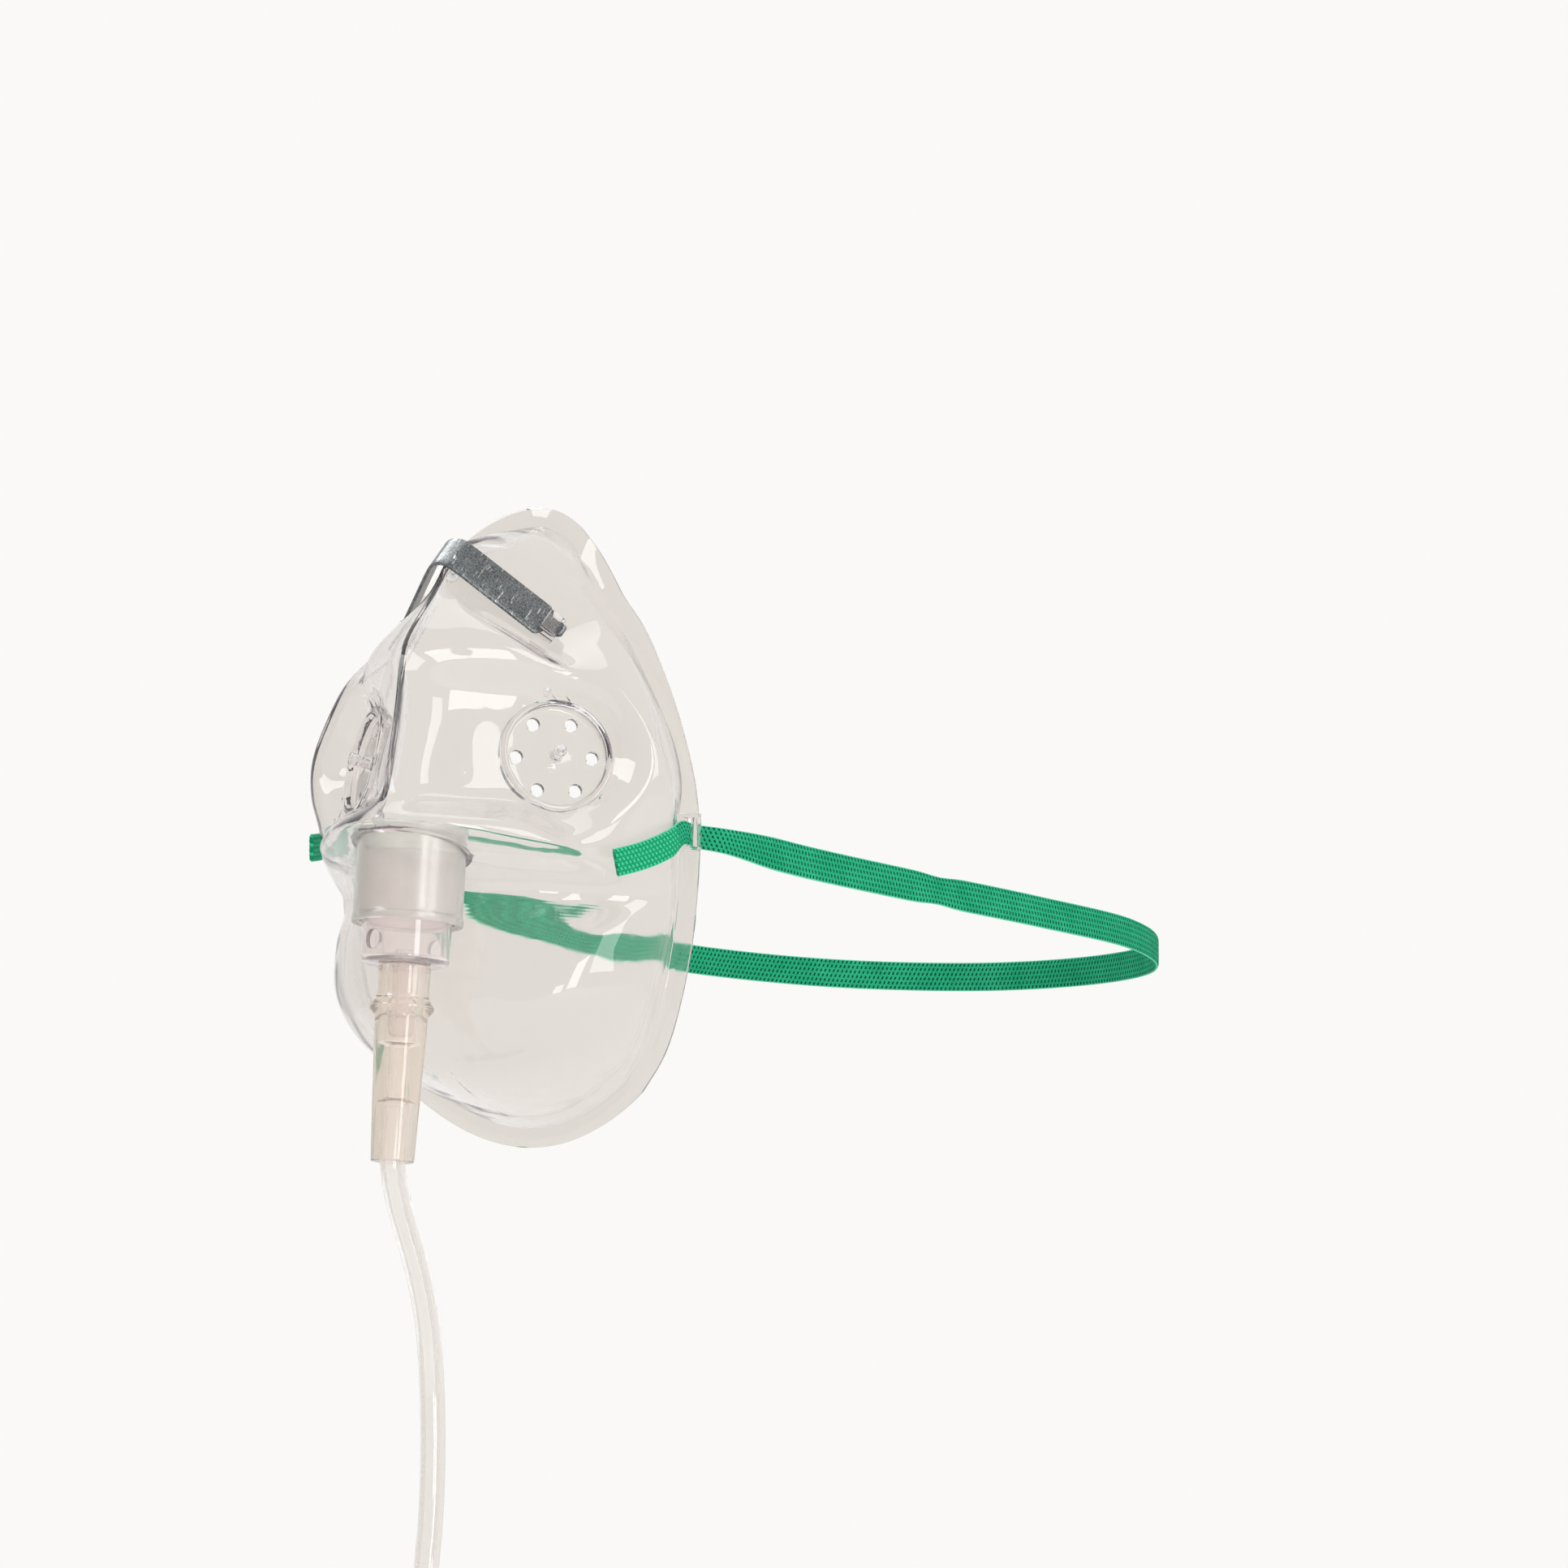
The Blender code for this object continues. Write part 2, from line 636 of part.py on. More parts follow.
def add_coil_tie(parts, cutters, material):
    """A flat band round the coil near its top."""
    depth, width = coil_half_sizes()
    gap = 2 * FIT_GAP
    spot = Vector((math.cos(TIE_TURN), 0.0, math.sin(TIE_TURN))) * COIL_TURN_RADIUS
    place = Matrix.Translation(COIL_CENTRE + spot) @ Matrix.Rotation(-TIE_TURN, 4, "Y")
    inside = (2 * (depth + gap), 2 * (width + gap))
    outside = tuple(size + 2 * TIE_THICKNESS for size in inside)
    tie = add_object("coil_tie", block((*outside, TIE_WIDTH), place), parts, material)
    opening = add_object("tie_opening", block((*inside, TIE_WIDTH * 2), place), cutters)
    boolean(tie, "DIFFERENCE", [opening])
    return tie


def add_supply_cuff(parts, material):
    """The cuff for the gas supply, hanging mouth down beside the coil."""
    depth, _ = coil_half_sizes()
    reach = COIL_TURN_RADIUS + depth + CUFF_TAIL_DIAMETER / 2 + FIT_GAP
    spot = COIL_CENTRE + Vector((math.cos(SUPPLY_TURN), 0.0, math.sin(SUPPLY_TURN))) * reach
    mouth_down = Matrix.Rotation(math.pi, 4, "X")
    place = Matrix.Translation(spot) @ mouth_down @ Matrix.Translation((0.0, 0.0, CUFF_LENGTH))
    return add_cuff("supply_cuff", place, parts, material)


def strap_points():
    """The strap's middle line from the left tail to the right one."""
    centre = lug_centre()
    through = [centre + Vector((0.0, -0.0035, 0.0)), centre, centre + Vector((0.0, 0.0042, -0.0004))]
    left = STRAP_TAIL + through
    flip = Vector((-1.0, 1.0, 1.0))
    right = [point * flip for point in reversed(left)]
    route = left + STRAP_ROUND_HEAD + right
    steps = 3
    count = (len(route) - 1) * steps
    return [Vector(through_points(route, index / steps)) for index in range(count + 1)]


def add_head_strap(parts, material):
    """Flat elastic, gathered a little where it goes through the lugs."""
    bm = bmesh.new()
    points = strap_points()
    rows = []
    for index, point in enumerate(points):
        run = (points[min(index + 1, len(points) - 1)] - points[max(index - 1, 0)]).normalized()
        up = (Vector((0.0, 0.0, 1.0)) - run.z * run).normalized()
        side = run.cross(up)
        nearness = max(0.0, 1 - abs(point.y - lug_centre().y) / 0.009)
        width = STRAP_WIDTH + (LUG_HEIGHT - 2 * LUG_SLOT_MARGIN - 0.0012 - STRAP_WIDTH) * nearness
        corners = [(-1, -1), (1, -1), (1, 1), (-1, 1)]
        rows.append(
            [bm.verts.new(point + up * (u * width / 2) + side * (s * STRAP_THICKNESS / 2)) for u, s in corners]
        )
    for first, second in zip(rows, rows[1:]):
        for c in range(4):
            bm.faces.new((first[c], first[(c + 1) % 4], second[(c + 1) % 4], second[c]))
    bm.faces.new(rows[0])
    bm.faces.new(rows[-1])
    bmesh.ops.recalc_face_normals(bm, faces=bm.faces)
    return add_object("head_strap", bm, parts, material)


def build():
    clear_scene()
    parts = new_collection("oxygen_face_mask")
    cutters = new_collection("cutters", hidden=True)
    clear_pvc = make_material("clear_pvc", (0.86, 0.84, 0.86), 0.08, transmission=0.9)
    clear_styrene = make_material("clear_styrene", (0.88, 0.87, 0.88), 0.1, transmission=0.9)
    amber_pvc = make_material("amber_pvc", (0.84, 0.77, 0.69), 0.15, transmission=0.8)
    aluminium = make_material("aluminium", (0.42, 0.45, 0.47), 0.3, metallic=1.0)
    elastic = make_material("green_elastic", (0.03, 0.33, 0.2), 0.8)
    band = make_material("white_band", (0.85, 0.85, 0.84), 0.4)
    add_mask_shell(parts, cutters, clear_pvc)
    add_nose_clip(parts, aluminium)
    add_inlet_adapter(parts, cutters, clear_styrene)
    add_cuff("tube_cuff", cuff_place(), parts, amber_pvc)
    add_oxygen_tube(parts, clear_pvc)
    add_tube_coil(parts, clear_pvc)
    add_coil_tie(parts, cutters, band)
    add_supply_cuff(parts, amber_pvc)
    add_head_strap(parts, elastic)


build()
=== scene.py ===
import json
import math

import bmesh
import bpy
from mathutils import Matrix, Vector

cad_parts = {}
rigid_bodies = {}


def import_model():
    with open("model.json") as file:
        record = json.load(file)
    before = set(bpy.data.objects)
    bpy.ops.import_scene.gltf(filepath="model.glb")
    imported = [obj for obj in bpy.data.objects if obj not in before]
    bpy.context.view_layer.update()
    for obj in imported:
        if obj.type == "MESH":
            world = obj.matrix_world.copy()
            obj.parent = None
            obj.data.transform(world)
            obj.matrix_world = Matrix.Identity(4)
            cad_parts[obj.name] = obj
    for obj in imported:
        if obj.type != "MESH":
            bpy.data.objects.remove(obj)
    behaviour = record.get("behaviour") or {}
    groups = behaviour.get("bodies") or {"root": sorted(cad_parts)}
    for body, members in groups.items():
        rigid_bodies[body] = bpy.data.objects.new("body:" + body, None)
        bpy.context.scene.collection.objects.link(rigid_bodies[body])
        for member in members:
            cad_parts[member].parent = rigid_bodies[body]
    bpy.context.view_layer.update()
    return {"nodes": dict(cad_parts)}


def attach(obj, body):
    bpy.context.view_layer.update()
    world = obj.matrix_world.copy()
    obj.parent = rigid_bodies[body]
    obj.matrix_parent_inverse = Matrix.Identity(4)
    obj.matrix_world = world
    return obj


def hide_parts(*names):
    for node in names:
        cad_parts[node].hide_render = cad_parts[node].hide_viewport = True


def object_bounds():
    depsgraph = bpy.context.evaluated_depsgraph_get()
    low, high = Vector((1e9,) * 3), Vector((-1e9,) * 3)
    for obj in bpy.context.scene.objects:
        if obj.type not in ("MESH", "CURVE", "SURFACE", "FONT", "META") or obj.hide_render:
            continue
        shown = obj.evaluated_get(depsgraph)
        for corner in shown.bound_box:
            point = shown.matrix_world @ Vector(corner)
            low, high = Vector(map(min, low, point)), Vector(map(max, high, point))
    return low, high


for leftOver in list(bpy.data.objects):
    bpy.data.objects.remove(leftOver, do_unlink=True)
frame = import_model()
scene = bpy.context.scene
print("frame loaded:", sorted(frame["nodes"]))


# sRGB hex to linear, the only way colours are written here
def linearColour(hexText):
    values = [int(hexText[i : i + 2], 16) / 255 for i in (1, 3, 5)]
    return (*(v / 12.92 if v <= 0.04045 else ((v + 0.055) / 1.055) ** 2.4 for v in values), 1.0)


# A node given as an input is linked by its first output
def addNode(tree, kind, inputs=None, **settings):
    node = tree.nodes.new(kind)
    for key, value in settings.items():
        setattr(node, key, value)
    for key, value in (inputs or {}).items():
        if isinstance(value, bpy.types.Node):
            value = value.outputs[0]
        if isinstance(value, bpy.types.NodeSocket):
            tree.links.new(value, node.inputs[key])
        else:
            node.inputs[key].default_value = value
    return node


def emptyMaterial(name):
    material = bpy.data.materials.new(name)
    material.use_nodes = True
    material.node_tree.nodes.clear()
    return material, material.node_tree


def shadeSmooth(mesh, sharpFrom):
    mesh.shade_smooth()
    mesh.set_sharp_from_angle(angle=math.radians(sharpFrom))


def linkedObject(name, data):
    piece = bpy.data.objects.new(name, data)
    scene.collection.objects.link(piece)
    return piece


def meshPiece(name, bm, material=None, sharpFrom=38.0):
    mesh = bpy.data.meshes.new(name)
    bm.to_mesh(mesh)
    bm.free()
    shadeSmooth(mesh, sharpFrom)
    if material:
        mesh.materials.append(material)
    return linkedObject(name, mesh)


def smoothPasses(bm, verts, passes, sideways=True):
    for _ in range(passes):
        bmesh.ops.smooth_vert(
            bm, verts=verts, factor=0.5, use_axis_x=sideways, use_axis_y=True, use_axis_z=True
        )


# A small bevel on the corners of what is cut from flat stock
def addBevel(piece, width):
    bevel = piece.modifiers.new("cutEdge", "BEVEL")
    bevel.width = width
    bevel.segments = 2
    bevel.limit_method = "ANGLE"


# The evaluated mesh takes the place of the mesh and its modifiers
def settleModifiers(piece):
    bpy.context.view_layer.update()
    evaluated = piece.evaluated_get(bpy.context.evaluated_depsgraph_get())
    settled = bpy.data.meshes.new_from_object(evaluated)
    piece.modifiers.clear()
    piece.data = settled


# A Geometry Nodes tree with one named input for each size
def sizedTree(name, sizes, takesPath=False):
    tree = bpy.data.node_groups.new(name, "GeometryNodeTree")
    if takesPath:
        tree.interface.new_socket(name="Path", in_out="INPUT", socket_type="NodeSocketGeometry")
    values = {}
    for label, value in sizes.items():
        kind = "NodeSocketInt" if isinstance(value, int) else "NodeSocketFloat"
        socket = tree.interface.new_socket(name=label, in_out="INPUT", socket_type=kind)
        socket.default_value = value
        values[socket.identifier] = value
    tree.interface.new_socket(name="Geometry", in_out="OUTPUT", socket_type="NodeSocketGeometry")
    return tree, values


def addTree(piece, tree, values):
    modifier = piece.modifiers.new(tree.name, "NODES")
    modifier.node_group = tree
    for identifier, value in values.items():
        modifier[identifier] = value


def removePieces(pieces):
    for piece in pieces:
        bpy.data.objects.remove(piece, do_unlink=True)


def booleanStep(piece, operation, others):
    for other in others:
        modifier = piece.modifiers.new(other.name, "BOOLEAN")
        modifier.operation = operation
        modifier.solver = "EXACT"
        modifier.material_mode = "TRANSFER"
        modifier.object = other


# Smooth curve through tuples or vectors, read at a place between whole numbers
def throughPoints(values, position):
    index = min(int(position), len(values) - 2)
    share = position - index
    before = values[max(index - 1, 0)]
    after = values[min(index + 2, len(values) - 1)]
    result = []
    for a, b, c, d in zip(before, values[index], values[index + 1], after):
        slopeIn = (c - a) / 2
        slopeOut = (d - b) / 2
        cubic = 2 * b - 2 * c + slopeIn + slopeOut
        square = 3 * c - 3 * b - 2 * slopeIn - slopeOut
        result.append(((cubic * share + square) * share + slopeIn) * share + b)
    return result


def steppedCurve(route, steps):
    count = (len(route) - 1) * steps
    return [Vector(throughPoints(route, index / steps)) for index in range(count + 1)]


def easeShare(value):
    value = min(max(value, 0.0), 1.0)
    return value * value * (3 - 2 * value)


# A place with its own axes: X along, Z out
def frameAt(point, xAxis, zAxis):
    yAxis = zAxis.cross(xAxis).normalized()
    xAxis = yAxis.cross(zAxis)
    place = Matrix((xAxis, yAxis, zAxis.normalized())).transposed().to_4x4()
    place.translation = point
    return place


# The same place on the right cheek. Y turns round too, so that meshes keep their outside.
def otherCheek(place):
    flip = Matrix.Diagonal((-1.0, 1.0, 1.0, 1.0))
    return flip @ place @ Matrix.Diagonal((1.0, -1.0, 1.0, 1.0))


# Corners are (radius, height, round). Each round corner becomes a small arc.
def roundedProfile(corners, steps=4):
    points = []
    for index, (x, z, bend) in enumerate(corners):
        here = Vector((x, z))
        if bend <= 0:
            points.append((x, z))
            continue
        before = Vector(corners[index - 1][:2]) - here
        after = Vector(corners[(index + 1) % len(corners)][:2]) - here
        reach = min(bend, before.length * 0.48, after.length * 0.48)
        start = here + before.normalized() * reach
        end = here + after.normalized() * reach
        for step in range(steps + 1):
            share = step / steps
            spot = start * (1 - share) ** 2 + here * 2 * share * (1 - share) + end * share**2
            points.append((spot.x, spot.y))
    return points


# A closed profile spun about the place's Z axis, outside facing out
def turnedMesh(corners, steps, place):
    bm = bmesh.new()
    rings = []
    for radius, height in roundedProfile(corners):
        if radius < 1e-7:
            rings.append([bm.verts.new(place @ Vector((0.0, 0.0, height)))])
            continue
        ring = []
        for step in range(steps):
            angle = math.tau * step / steps
            spot = Vector((radius * math.cos(angle), radius * math.sin(angle), height))
            ring.append(bm.verts.new(place @ spot))
        rings.append(ring)
    for first, second in zip(rings, rings[1:] + rings[:1]):
        if len(first) == 1 and len(second) == 1:
            continue
        for step in range(steps):
            following = (step + 1) % steps
            if len(first) == 1:
                bm.faces.new((first[0], second[step], second[following]))
            elif len(second) == 1:
                bm.faces.new((first[step], second[0], first[following]))
            else:
                bm.faces.new((first[step], second[step], second[following], first[following]))
    bmesh.ops.recalc_face_normals(bm, faces=bm.faces)
    return bm


# The profile of a plain round rod, used to cut seats, bores and air holes
def rodCorners(radius, top, foot):
    return [(radius, top, 0), (radius, foot, 0), (0, foot, 0), (0, top, 0)]


def blockMesh(size, place, edge=0.0):
    bm = bmesh.new()
    bmesh.ops.create_cube(bm, size=1.0, matrix=Matrix.Diagonal((*size, 1.0)))
    if edge:
        bmesh.ops.bevel(bm, geom=bm.edges[:], offset=edge, segments=3, profile=0.5, affect="EDGES")
    bmesh.ops.transform(bm, matrix=place, verts=bm.verts[:])
    bmesh.ops.recalc_face_normals(bm, faces=bm.faces)
    return bm


# Camera at the photograph's viewing angle
viewSizes = {
    "distance": 1.2,
    "azimuth": 26.0,  # degrees round from the nose towards the wearer's left
    "elevation": -4.0,
    "pixel": 0.000183,  # metres of the object per picture pixel
    "picture": 1932,
    "sensor": 36,
    "rimPixel": (636, 1016),  # where the middle of the rim is seen
}


def addCamera():
    turn, rise = math.radians(viewSizes["azimuth"]), math.radians(viewSizes["elevation"])
    level = math.cos(rise)
    towards = Vector((math.sin(turn) * level, -math.cos(turn) * level, math.sin(rise)))
    camera = linkedObject("camera", bpy.data.cameras.new("camera"))
    camera.rotation_euler = towards.to_track_quat("Z", "Y").to_euler()
    axes = camera.rotation_euler.to_matrix()
    half = viewSizes["picture"] / 2
    across = (half - viewSizes["rimPixel"][0]) * viewSizes["pixel"]
    above = (viewSizes["rimPixel"][1] - half) * viewSizes["pixel"]
    centre = axes @ Vector((across, above, 0.0))
    camera.location = centre + towards * viewSizes["distance"]
    camera.data.sensor_width = viewSizes["sensor"]
    seen = viewSizes["picture"] * viewSizes["pixel"]
    camera.data.lens = viewSizes["sensor"] * viewSizes["distance"] / seen
    scene.camera = camera


addCamera()
print("camera placed")


# Clear plastic is glass to the eye, and lets lamps straight through, so its shadow is faint.
# Its tint is in its thickness: thin walls look clear and long paths through edges show the colour.
def clearPlastic(name, tint, density, ior, rough, waveScale, waveDepth, waveStrength, faint, haze):
    material, tree = emptyMaterial(name)
    place = addNode(tree, "ShaderNodeTexCoord").outputs["Object"]
    slow = addNode(
        tree,
        "ShaderNodeTexNoise",
        {"Vector": place, "Scale": waveScale, "Detail": 2.0, "Roughness": 0.45},
    )
    fine = addNode(
        tree, "ShaderNodeTexNoise", {"Vector": place, "Scale": 420.0, "Detail": 2.0, "Roughness": 0.5}
    )
    roughness = addNode(
        tree,
        "ShaderNodeMapRange",
        {"Value": fine, "From Min": 0.35, "From Max": 0.75, "To Min": rough[0], "To Max": rough[1]},
    )
    swell = addNode(
        tree, "ShaderNodeBump", {"Height": slow, "Strength": waveStrength, "Distance": waveDepth}
    )
    grain = addNode(
        tree, "ShaderNodeBump", {"Height": fine, "Strength": 0.04, "Distance": 0.00003, "Normal": swell}
    )
    body = addNode(
        tree,
        "ShaderNodeBsdfPrincipled",
        {
            "Base Color": linearColour(faint),
            "Roughness": roughness,
            "IOR": ior,
            "Transmission Weight": 1.0 - haze,
            "Normal": grain,
        },
    )
    lampPath = addNode(tree, "ShaderNodeLightPath")
    passing = addNode(tree, "ShaderNodeBsdfTransparent", {"Color": linearColour("#F2EEF0")})
    mix = addNode(
        tree, "ShaderNodeMixShader", {0: lampPath.outputs["Is Shadow Ray"], 1: body, 2: passing}
    )
    soak = addNode(tree, "ShaderNodeVolumeAbsorption", {"Color": linearColour(tint), "Density": density})
    addNode(tree, "ShaderNodeOutputMaterial", {"Surface": mix, "Volume": soak})
    return material


# Soft PVC, injection moulded and polished: clear walls, lilac-grey edges, slow waves from the mould
mouldedPvc = clearPlastic(
    "mouldedClearPvc", tint="#C4B2BA", density=64.0, ior=1.44, rough=(0.02, 0.06),
    waveScale=55.0, waveDepth=0.0009, waveStrength=0.3, faint="#FFFFFF", haze=0.02,
)
# The same PVC off a matt mould: frosted, so that what is inside the collar shows only softly
frostedPvc = clearPlastic(
    "frostedCollarPvc", tint="#C4C6C0", density=95.0, ior=1.45, rough=(0.20, 0.24),
    waveScale=40.0, waveDepth=0.0001, waveStrength=0.1, faint="#ECEBE7", haze=0.16,
)
# Polystyrene, hard and brilliant, the clearest piece
styrene = clearPlastic(
    "clearPolystyrene", tint="#D6CED0", density=60.0, ior=1.48, rough=(0.03, 0.06),
    waveScale=80.0, waveDepth=0.0001, waveStrength=0.15, faint="#F4F0EE", haze=0.12,
)
# Plasticised PVC of the cuffs: soft, a little cloudy, amber where it is thick
amberPvc = clearPlastic(
    "amberCuffPvc", tint="#DFD0BC", density=50.0, ior=1.45, rough=(0.05, 0.08),
    waveScale=80.0, waveDepth=0.0001, waveStrength=0.15, faint="#F6F2ED", haze=0.12,
)
# Extruded PVC tube: clear and even, with a slight haze
tubePvc = clearPlastic(
    "extrudedTubePvc", tint="#DDD8D4", density=40.0, ior=1.49, rough=(0.03, 0.07),
    waveScale=70.0, waveDepth=0.0001, waveStrength=0.02, faint="#FFFFFF", haze=0.04,
)


# Soft aluminium strip as rolled and cut: mottled grey, small bright scratches
def rolledAluminium():
    material, tree = emptyMaterial("rolledAluminium")
    place = addNode(tree, "ShaderNodeTexCoord").outputs["Object"]
    mottle = addNode(
        tree, "ShaderNodeTexNoise", {"Vector": place, "Scale": 2300.0, "Detail": 6.0, "Roughness": 0.72}
    )
    cloud = addNode(
        tree, "ShaderNodeTexNoise", {"Vector": place, "Scale": 210.0, "Detail": 3.0, "Roughness": 0.6}
    )
    tilted = addNode(
        tree,
        "ShaderNodeMapping",
        {"Vector": place, "Rotation": (0.5, 0.9, 0.2), "Scale": (2600.0, 160.0, 420.0)},
    )
    scratch = addNode(
        tree, "ShaderNodeTexNoise", {"Vector": tilted, "Scale": 1.0, "Detail": 4.0, "Roughness": 0.6}
    )
    bright = addNode(tree, "ShaderNodeMapRange", {"Value": scratch, "From Min": 0.60, "From Max": 0.72})
    tone = addNode(tree, "ShaderNodeValToRGB", {"Fac": mottle})
    for stop, spot, hexText in zip(tone.color_ramp.elements, (0.34, 0.66), ("#484C4E", "#A6A9AA")):
        stop.position, stop.color = spot, linearColour(hexText)
    shade = addNode(
        tree,
        "ShaderNodeMix",
        {0: cloud, 6: tone, 7: linearColour("#A6A9AA")},
        data_type="RGBA",
        blend_type="MULTIPLY",
    )
    colour = addNode(
        tree,
        "ShaderNodeMix",
        {0: bright, 6: shade.outputs[2], 7: linearColour("#EEF1F2")},
        data_type="RGBA",
    )
    roughness = addNode(
        tree,
        "ShaderNodeMapRange",
        {"Value": mottle, "From Min": 0.3, "From Max": 0.7, "To Min": 0.22, "To Max": 0.42},
    )
    relief = addNode(tree, "ShaderNodeBump", {"Height": mottle, "Strength": 0.35, "Distance": 0.00006})
    scored = addNode(
        tree, "ShaderNodeBump", {"Height": bright, "Strength": 0.3, "Distance": 0.00004, "Normal": relief}
    )
    metal = addNode(
        tree,
        "ShaderNodeBsdfPrincipled",
        {"Base Color": colour.outputs[2], "Metallic": 1.0, "Roughness": roughness, "Normal": scored},
    )
    addNode(tree, "ShaderNodeOutputMaterial", {"Surface": metal})
    return material


weaveSizes = {"ribs": 6, "stitches": 6.6}  # ribs across the strap, and stitches in one strap width


# Knitted elastic braid: lengthwise ribs, a short slot between stitches with painted shade (a painted
# highlight on the loose ends), pale rolled edges
def knittedElastic():
    material, tree = emptyMaterial("knittedGreenElastic")
    # The UV map runs 0 to 1 across the strap and in strap widths along it
    weave = addNode(tree, "ShaderNodeUVMap", uv_map="strapWeave")
    parts = addNode(tree, "ShaderNodeSeparateXYZ", {"Vector": weave})
    ribs = addNode(
        tree, "ShaderNodeMath", {0: parts.outputs["X"], 1: weaveSizes["ribs"]}, operation="MULTIPLY"
    )
    ribShare = addNode(tree, "ShaderNodeMath", {0: ribs}, operation="FRACT")
    ribNumber = addNode(tree, "ShaderNodeMath", {0: ribs}, operation="FLOOR")
    # 1.1 mm stitches on a strap 7 mm wide, each rib half a stitch on: drawn coarser than real, to show
    stitches = addNode(
        tree, "ShaderNodeMath", {0: parts.outputs["Y"], 1: weaveSizes["stitches"]}, operation="MULTIPLY"
    )
    stagger = addNode(
        tree, "ShaderNodeMath", {0: ribNumber, 1: 0.5, 2: stitches}, operation="MULTIPLY_ADD"
    )
    lean = addNode(tree, "ShaderNodeMath", {0: ribShare, 1: 0.35, 2: stagger}, operation="MULTIPLY_ADD")
    stitchShare = addNode(tree, "ShaderNodeMath", {0: lean}, operation="FRACT")
    # Soft edges of slots and selvedge, from the distance to the middle of rib, stitch and strap
    edges = []
    for share, start, end, inside, outside in (
        (ribShare, 0.20, 0.42, 1.0, 0.0),
        (stitchShare, 0.10, 0.28, 1.0, 0.0),
        (parts.outputs["X"], 0.455, 0.485, 0.0, 1.0),
    ):
        centred = addNode(tree, "ShaderNodeMath", {0: share, 1: 0.5}, operation="SUBTRACT")
        away = addNode(tree, "ShaderNodeMath", {0: centred}, operation="ABSOLUTE")
        limits = {"From Min": start, "From Max": end, "To Min": inside, "To Max": outside}
        edges.append(addNode(tree, "ShaderNodeMapRange", {"Value": away, **limits}))
    slotAcross, slotAlong, selvedge = edges
    slot = addNode(tree, "ShaderNodeMath", {0: slotAcross, 1: slotAlong}, operation="MULTIPLY")
    place = addNode(tree, "ShaderNodeTexCoord").outputs["Object"]
    yarn = addNode(
        tree, "ShaderNodeTexNoise", {"Vector": place, "Scale": 2600.0, "Detail": 3.0, "Roughness": 0.7}
    )
    patch = addNode(
        tree, "ShaderNodeTexNoise", {"Vector": place, "Scale": 160.0, "Detail": 2.0, "Roughness": 0.5}
    )
    base = addNode(tree, "ShaderNodeValToRGB", {"Fac": patch})
    for stop, spot, hexText in zip(base.color_ramp.elements, (0.3, 0.75), ("#128D61", "#28A176")):
        stop.position, stop.color = spot, linearColour(hexText)
    # The loose ends are unstretched and a deeper green
    stretch = addNode(tree, "ShaderNodeAttribute", attribute_name="stretch", attribute_type="GEOMETRY")
    relaxed = addNode(
        tree,
        "ShaderNodeMix",
        {0: stretch.outputs["Fac"], 6: linearColour("#00804F"), 7: base},
        data_type="RGBA",
    )
    yarnShare = addNode(
        tree,
        "ShaderNodeMapRange",
        {"Value": yarn, "From Min": 0.35, "From Max": 0.7, "To Min": 0.0, "To Max": 0.45},
    )
    flecked = addNode(
        tree,
        "ShaderNodeMix",
        {0: yarnShare, 6: relaxed.outputs[2], 7: linearColour("#35B88B")},
        data_type="RGBA",
    )
    # Painted shade and highlight: stretched, the open slots are painted dark as shade in the gaps; on the
    # loose ends they close and are painted a light green highlight where they catch the light
    paintedSlotLight = addNode(
        tree,
        "ShaderNodeMix",
        {0: stretch.outputs["Fac"], 6: linearColour("#4CC297"), 7: linearColour("#033B27")},
        data_type="RGBA",
    )
    # The painted slot shade, and the painted highlight on the loose ends, go over the yarn colour
    deep = addNode(
        tree, "ShaderNodeMix", {0: slot, 6: flecked.outputs[2], 7: paintedSlotLight.outputs[2]}, data_type="RGBA"
    )
    colour = addNode(
        tree,
        "ShaderNodeMix",
        {0: selvedge, 6: deep.outputs[2], 7: linearColour("#5CC19C")},
        data_type="RGBA",
    )
    height = addNode(tree, "ShaderNodeMath", {0: slot, 1: -1.0, 2: yarn}, operation="MULTIPLY_ADD")
    relief = addNode(tree, "ShaderNodeBump", {"Height": height, "Strength": 0.8, "Distance": 0.00012})
    cloth = addNode(
        tree,
        "ShaderNodeBsdfPrincipled",
        {
            "Base Color": colour.outputs[2],
            "Roughness": 0.82,
            "Sheen Weight": 0.02,
            "Sheen Roughness": 0.4,
            "Sheen Tint": linearColour("#9FE0C4"),
            "Specular IOR Level": 0.08,
            "Normal": relief,
        },
    )
    addNode(tree, "ShaderNodeOutputMaterial", {"Surface": cloth})
    return material


# Matt polyethylene strip: white, slightly waxy, with faint stretch lines
def whiteBand():
    material, tree = emptyMaterial("whitePolyethyleneBand")
    place = addNode(tree, "ShaderNodeTexCoord").outputs["Object"]
    stretched = addNode(tree, "ShaderNodeMapping", {"Vector": place, "Scale": (300.0, 2400.0, 300.0)})
    lines = addNode(tree, "ShaderNodeTexNoise", {"Vector": stretched, "Scale": 1.0, "Detail": 3.0})
    tone = addNode(tree, "ShaderNodeValToRGB", {"Fac": lines})
    for stop, spot, hexText in zip(tone.color_ramp.elements, (0.3, 0.7), ("#E4E3DF", "#F3F2EF")):
        stop.position, stop.color = spot, linearColour(hexText)
    roughness = addNode(
        tree,
        "ShaderNodeMapRange",
        {"Value": lines, "From Min": 0.3, "From Max": 0.7, "To Min": 0.38, "To Max": 0.55},
    )
    relief = addNode(tree, "ShaderNodeBump", {"Height": lines, "Strength": 0.3, "Distance": 0.00005})
    sheet = addNode(
        tree,
        "ShaderNodeBsdfPrincipled",
        {
            "Base Color": tone,
            "Roughness": roughness,
            "Subsurface Weight": 0.2,
            "Subsurface Radius": (0.001, 0.001, 0.001),
            "Normal": relief,
        },
    )
    addNode(tree, "ShaderNodeOutputMaterial", {"Surface": sheet})
    return material


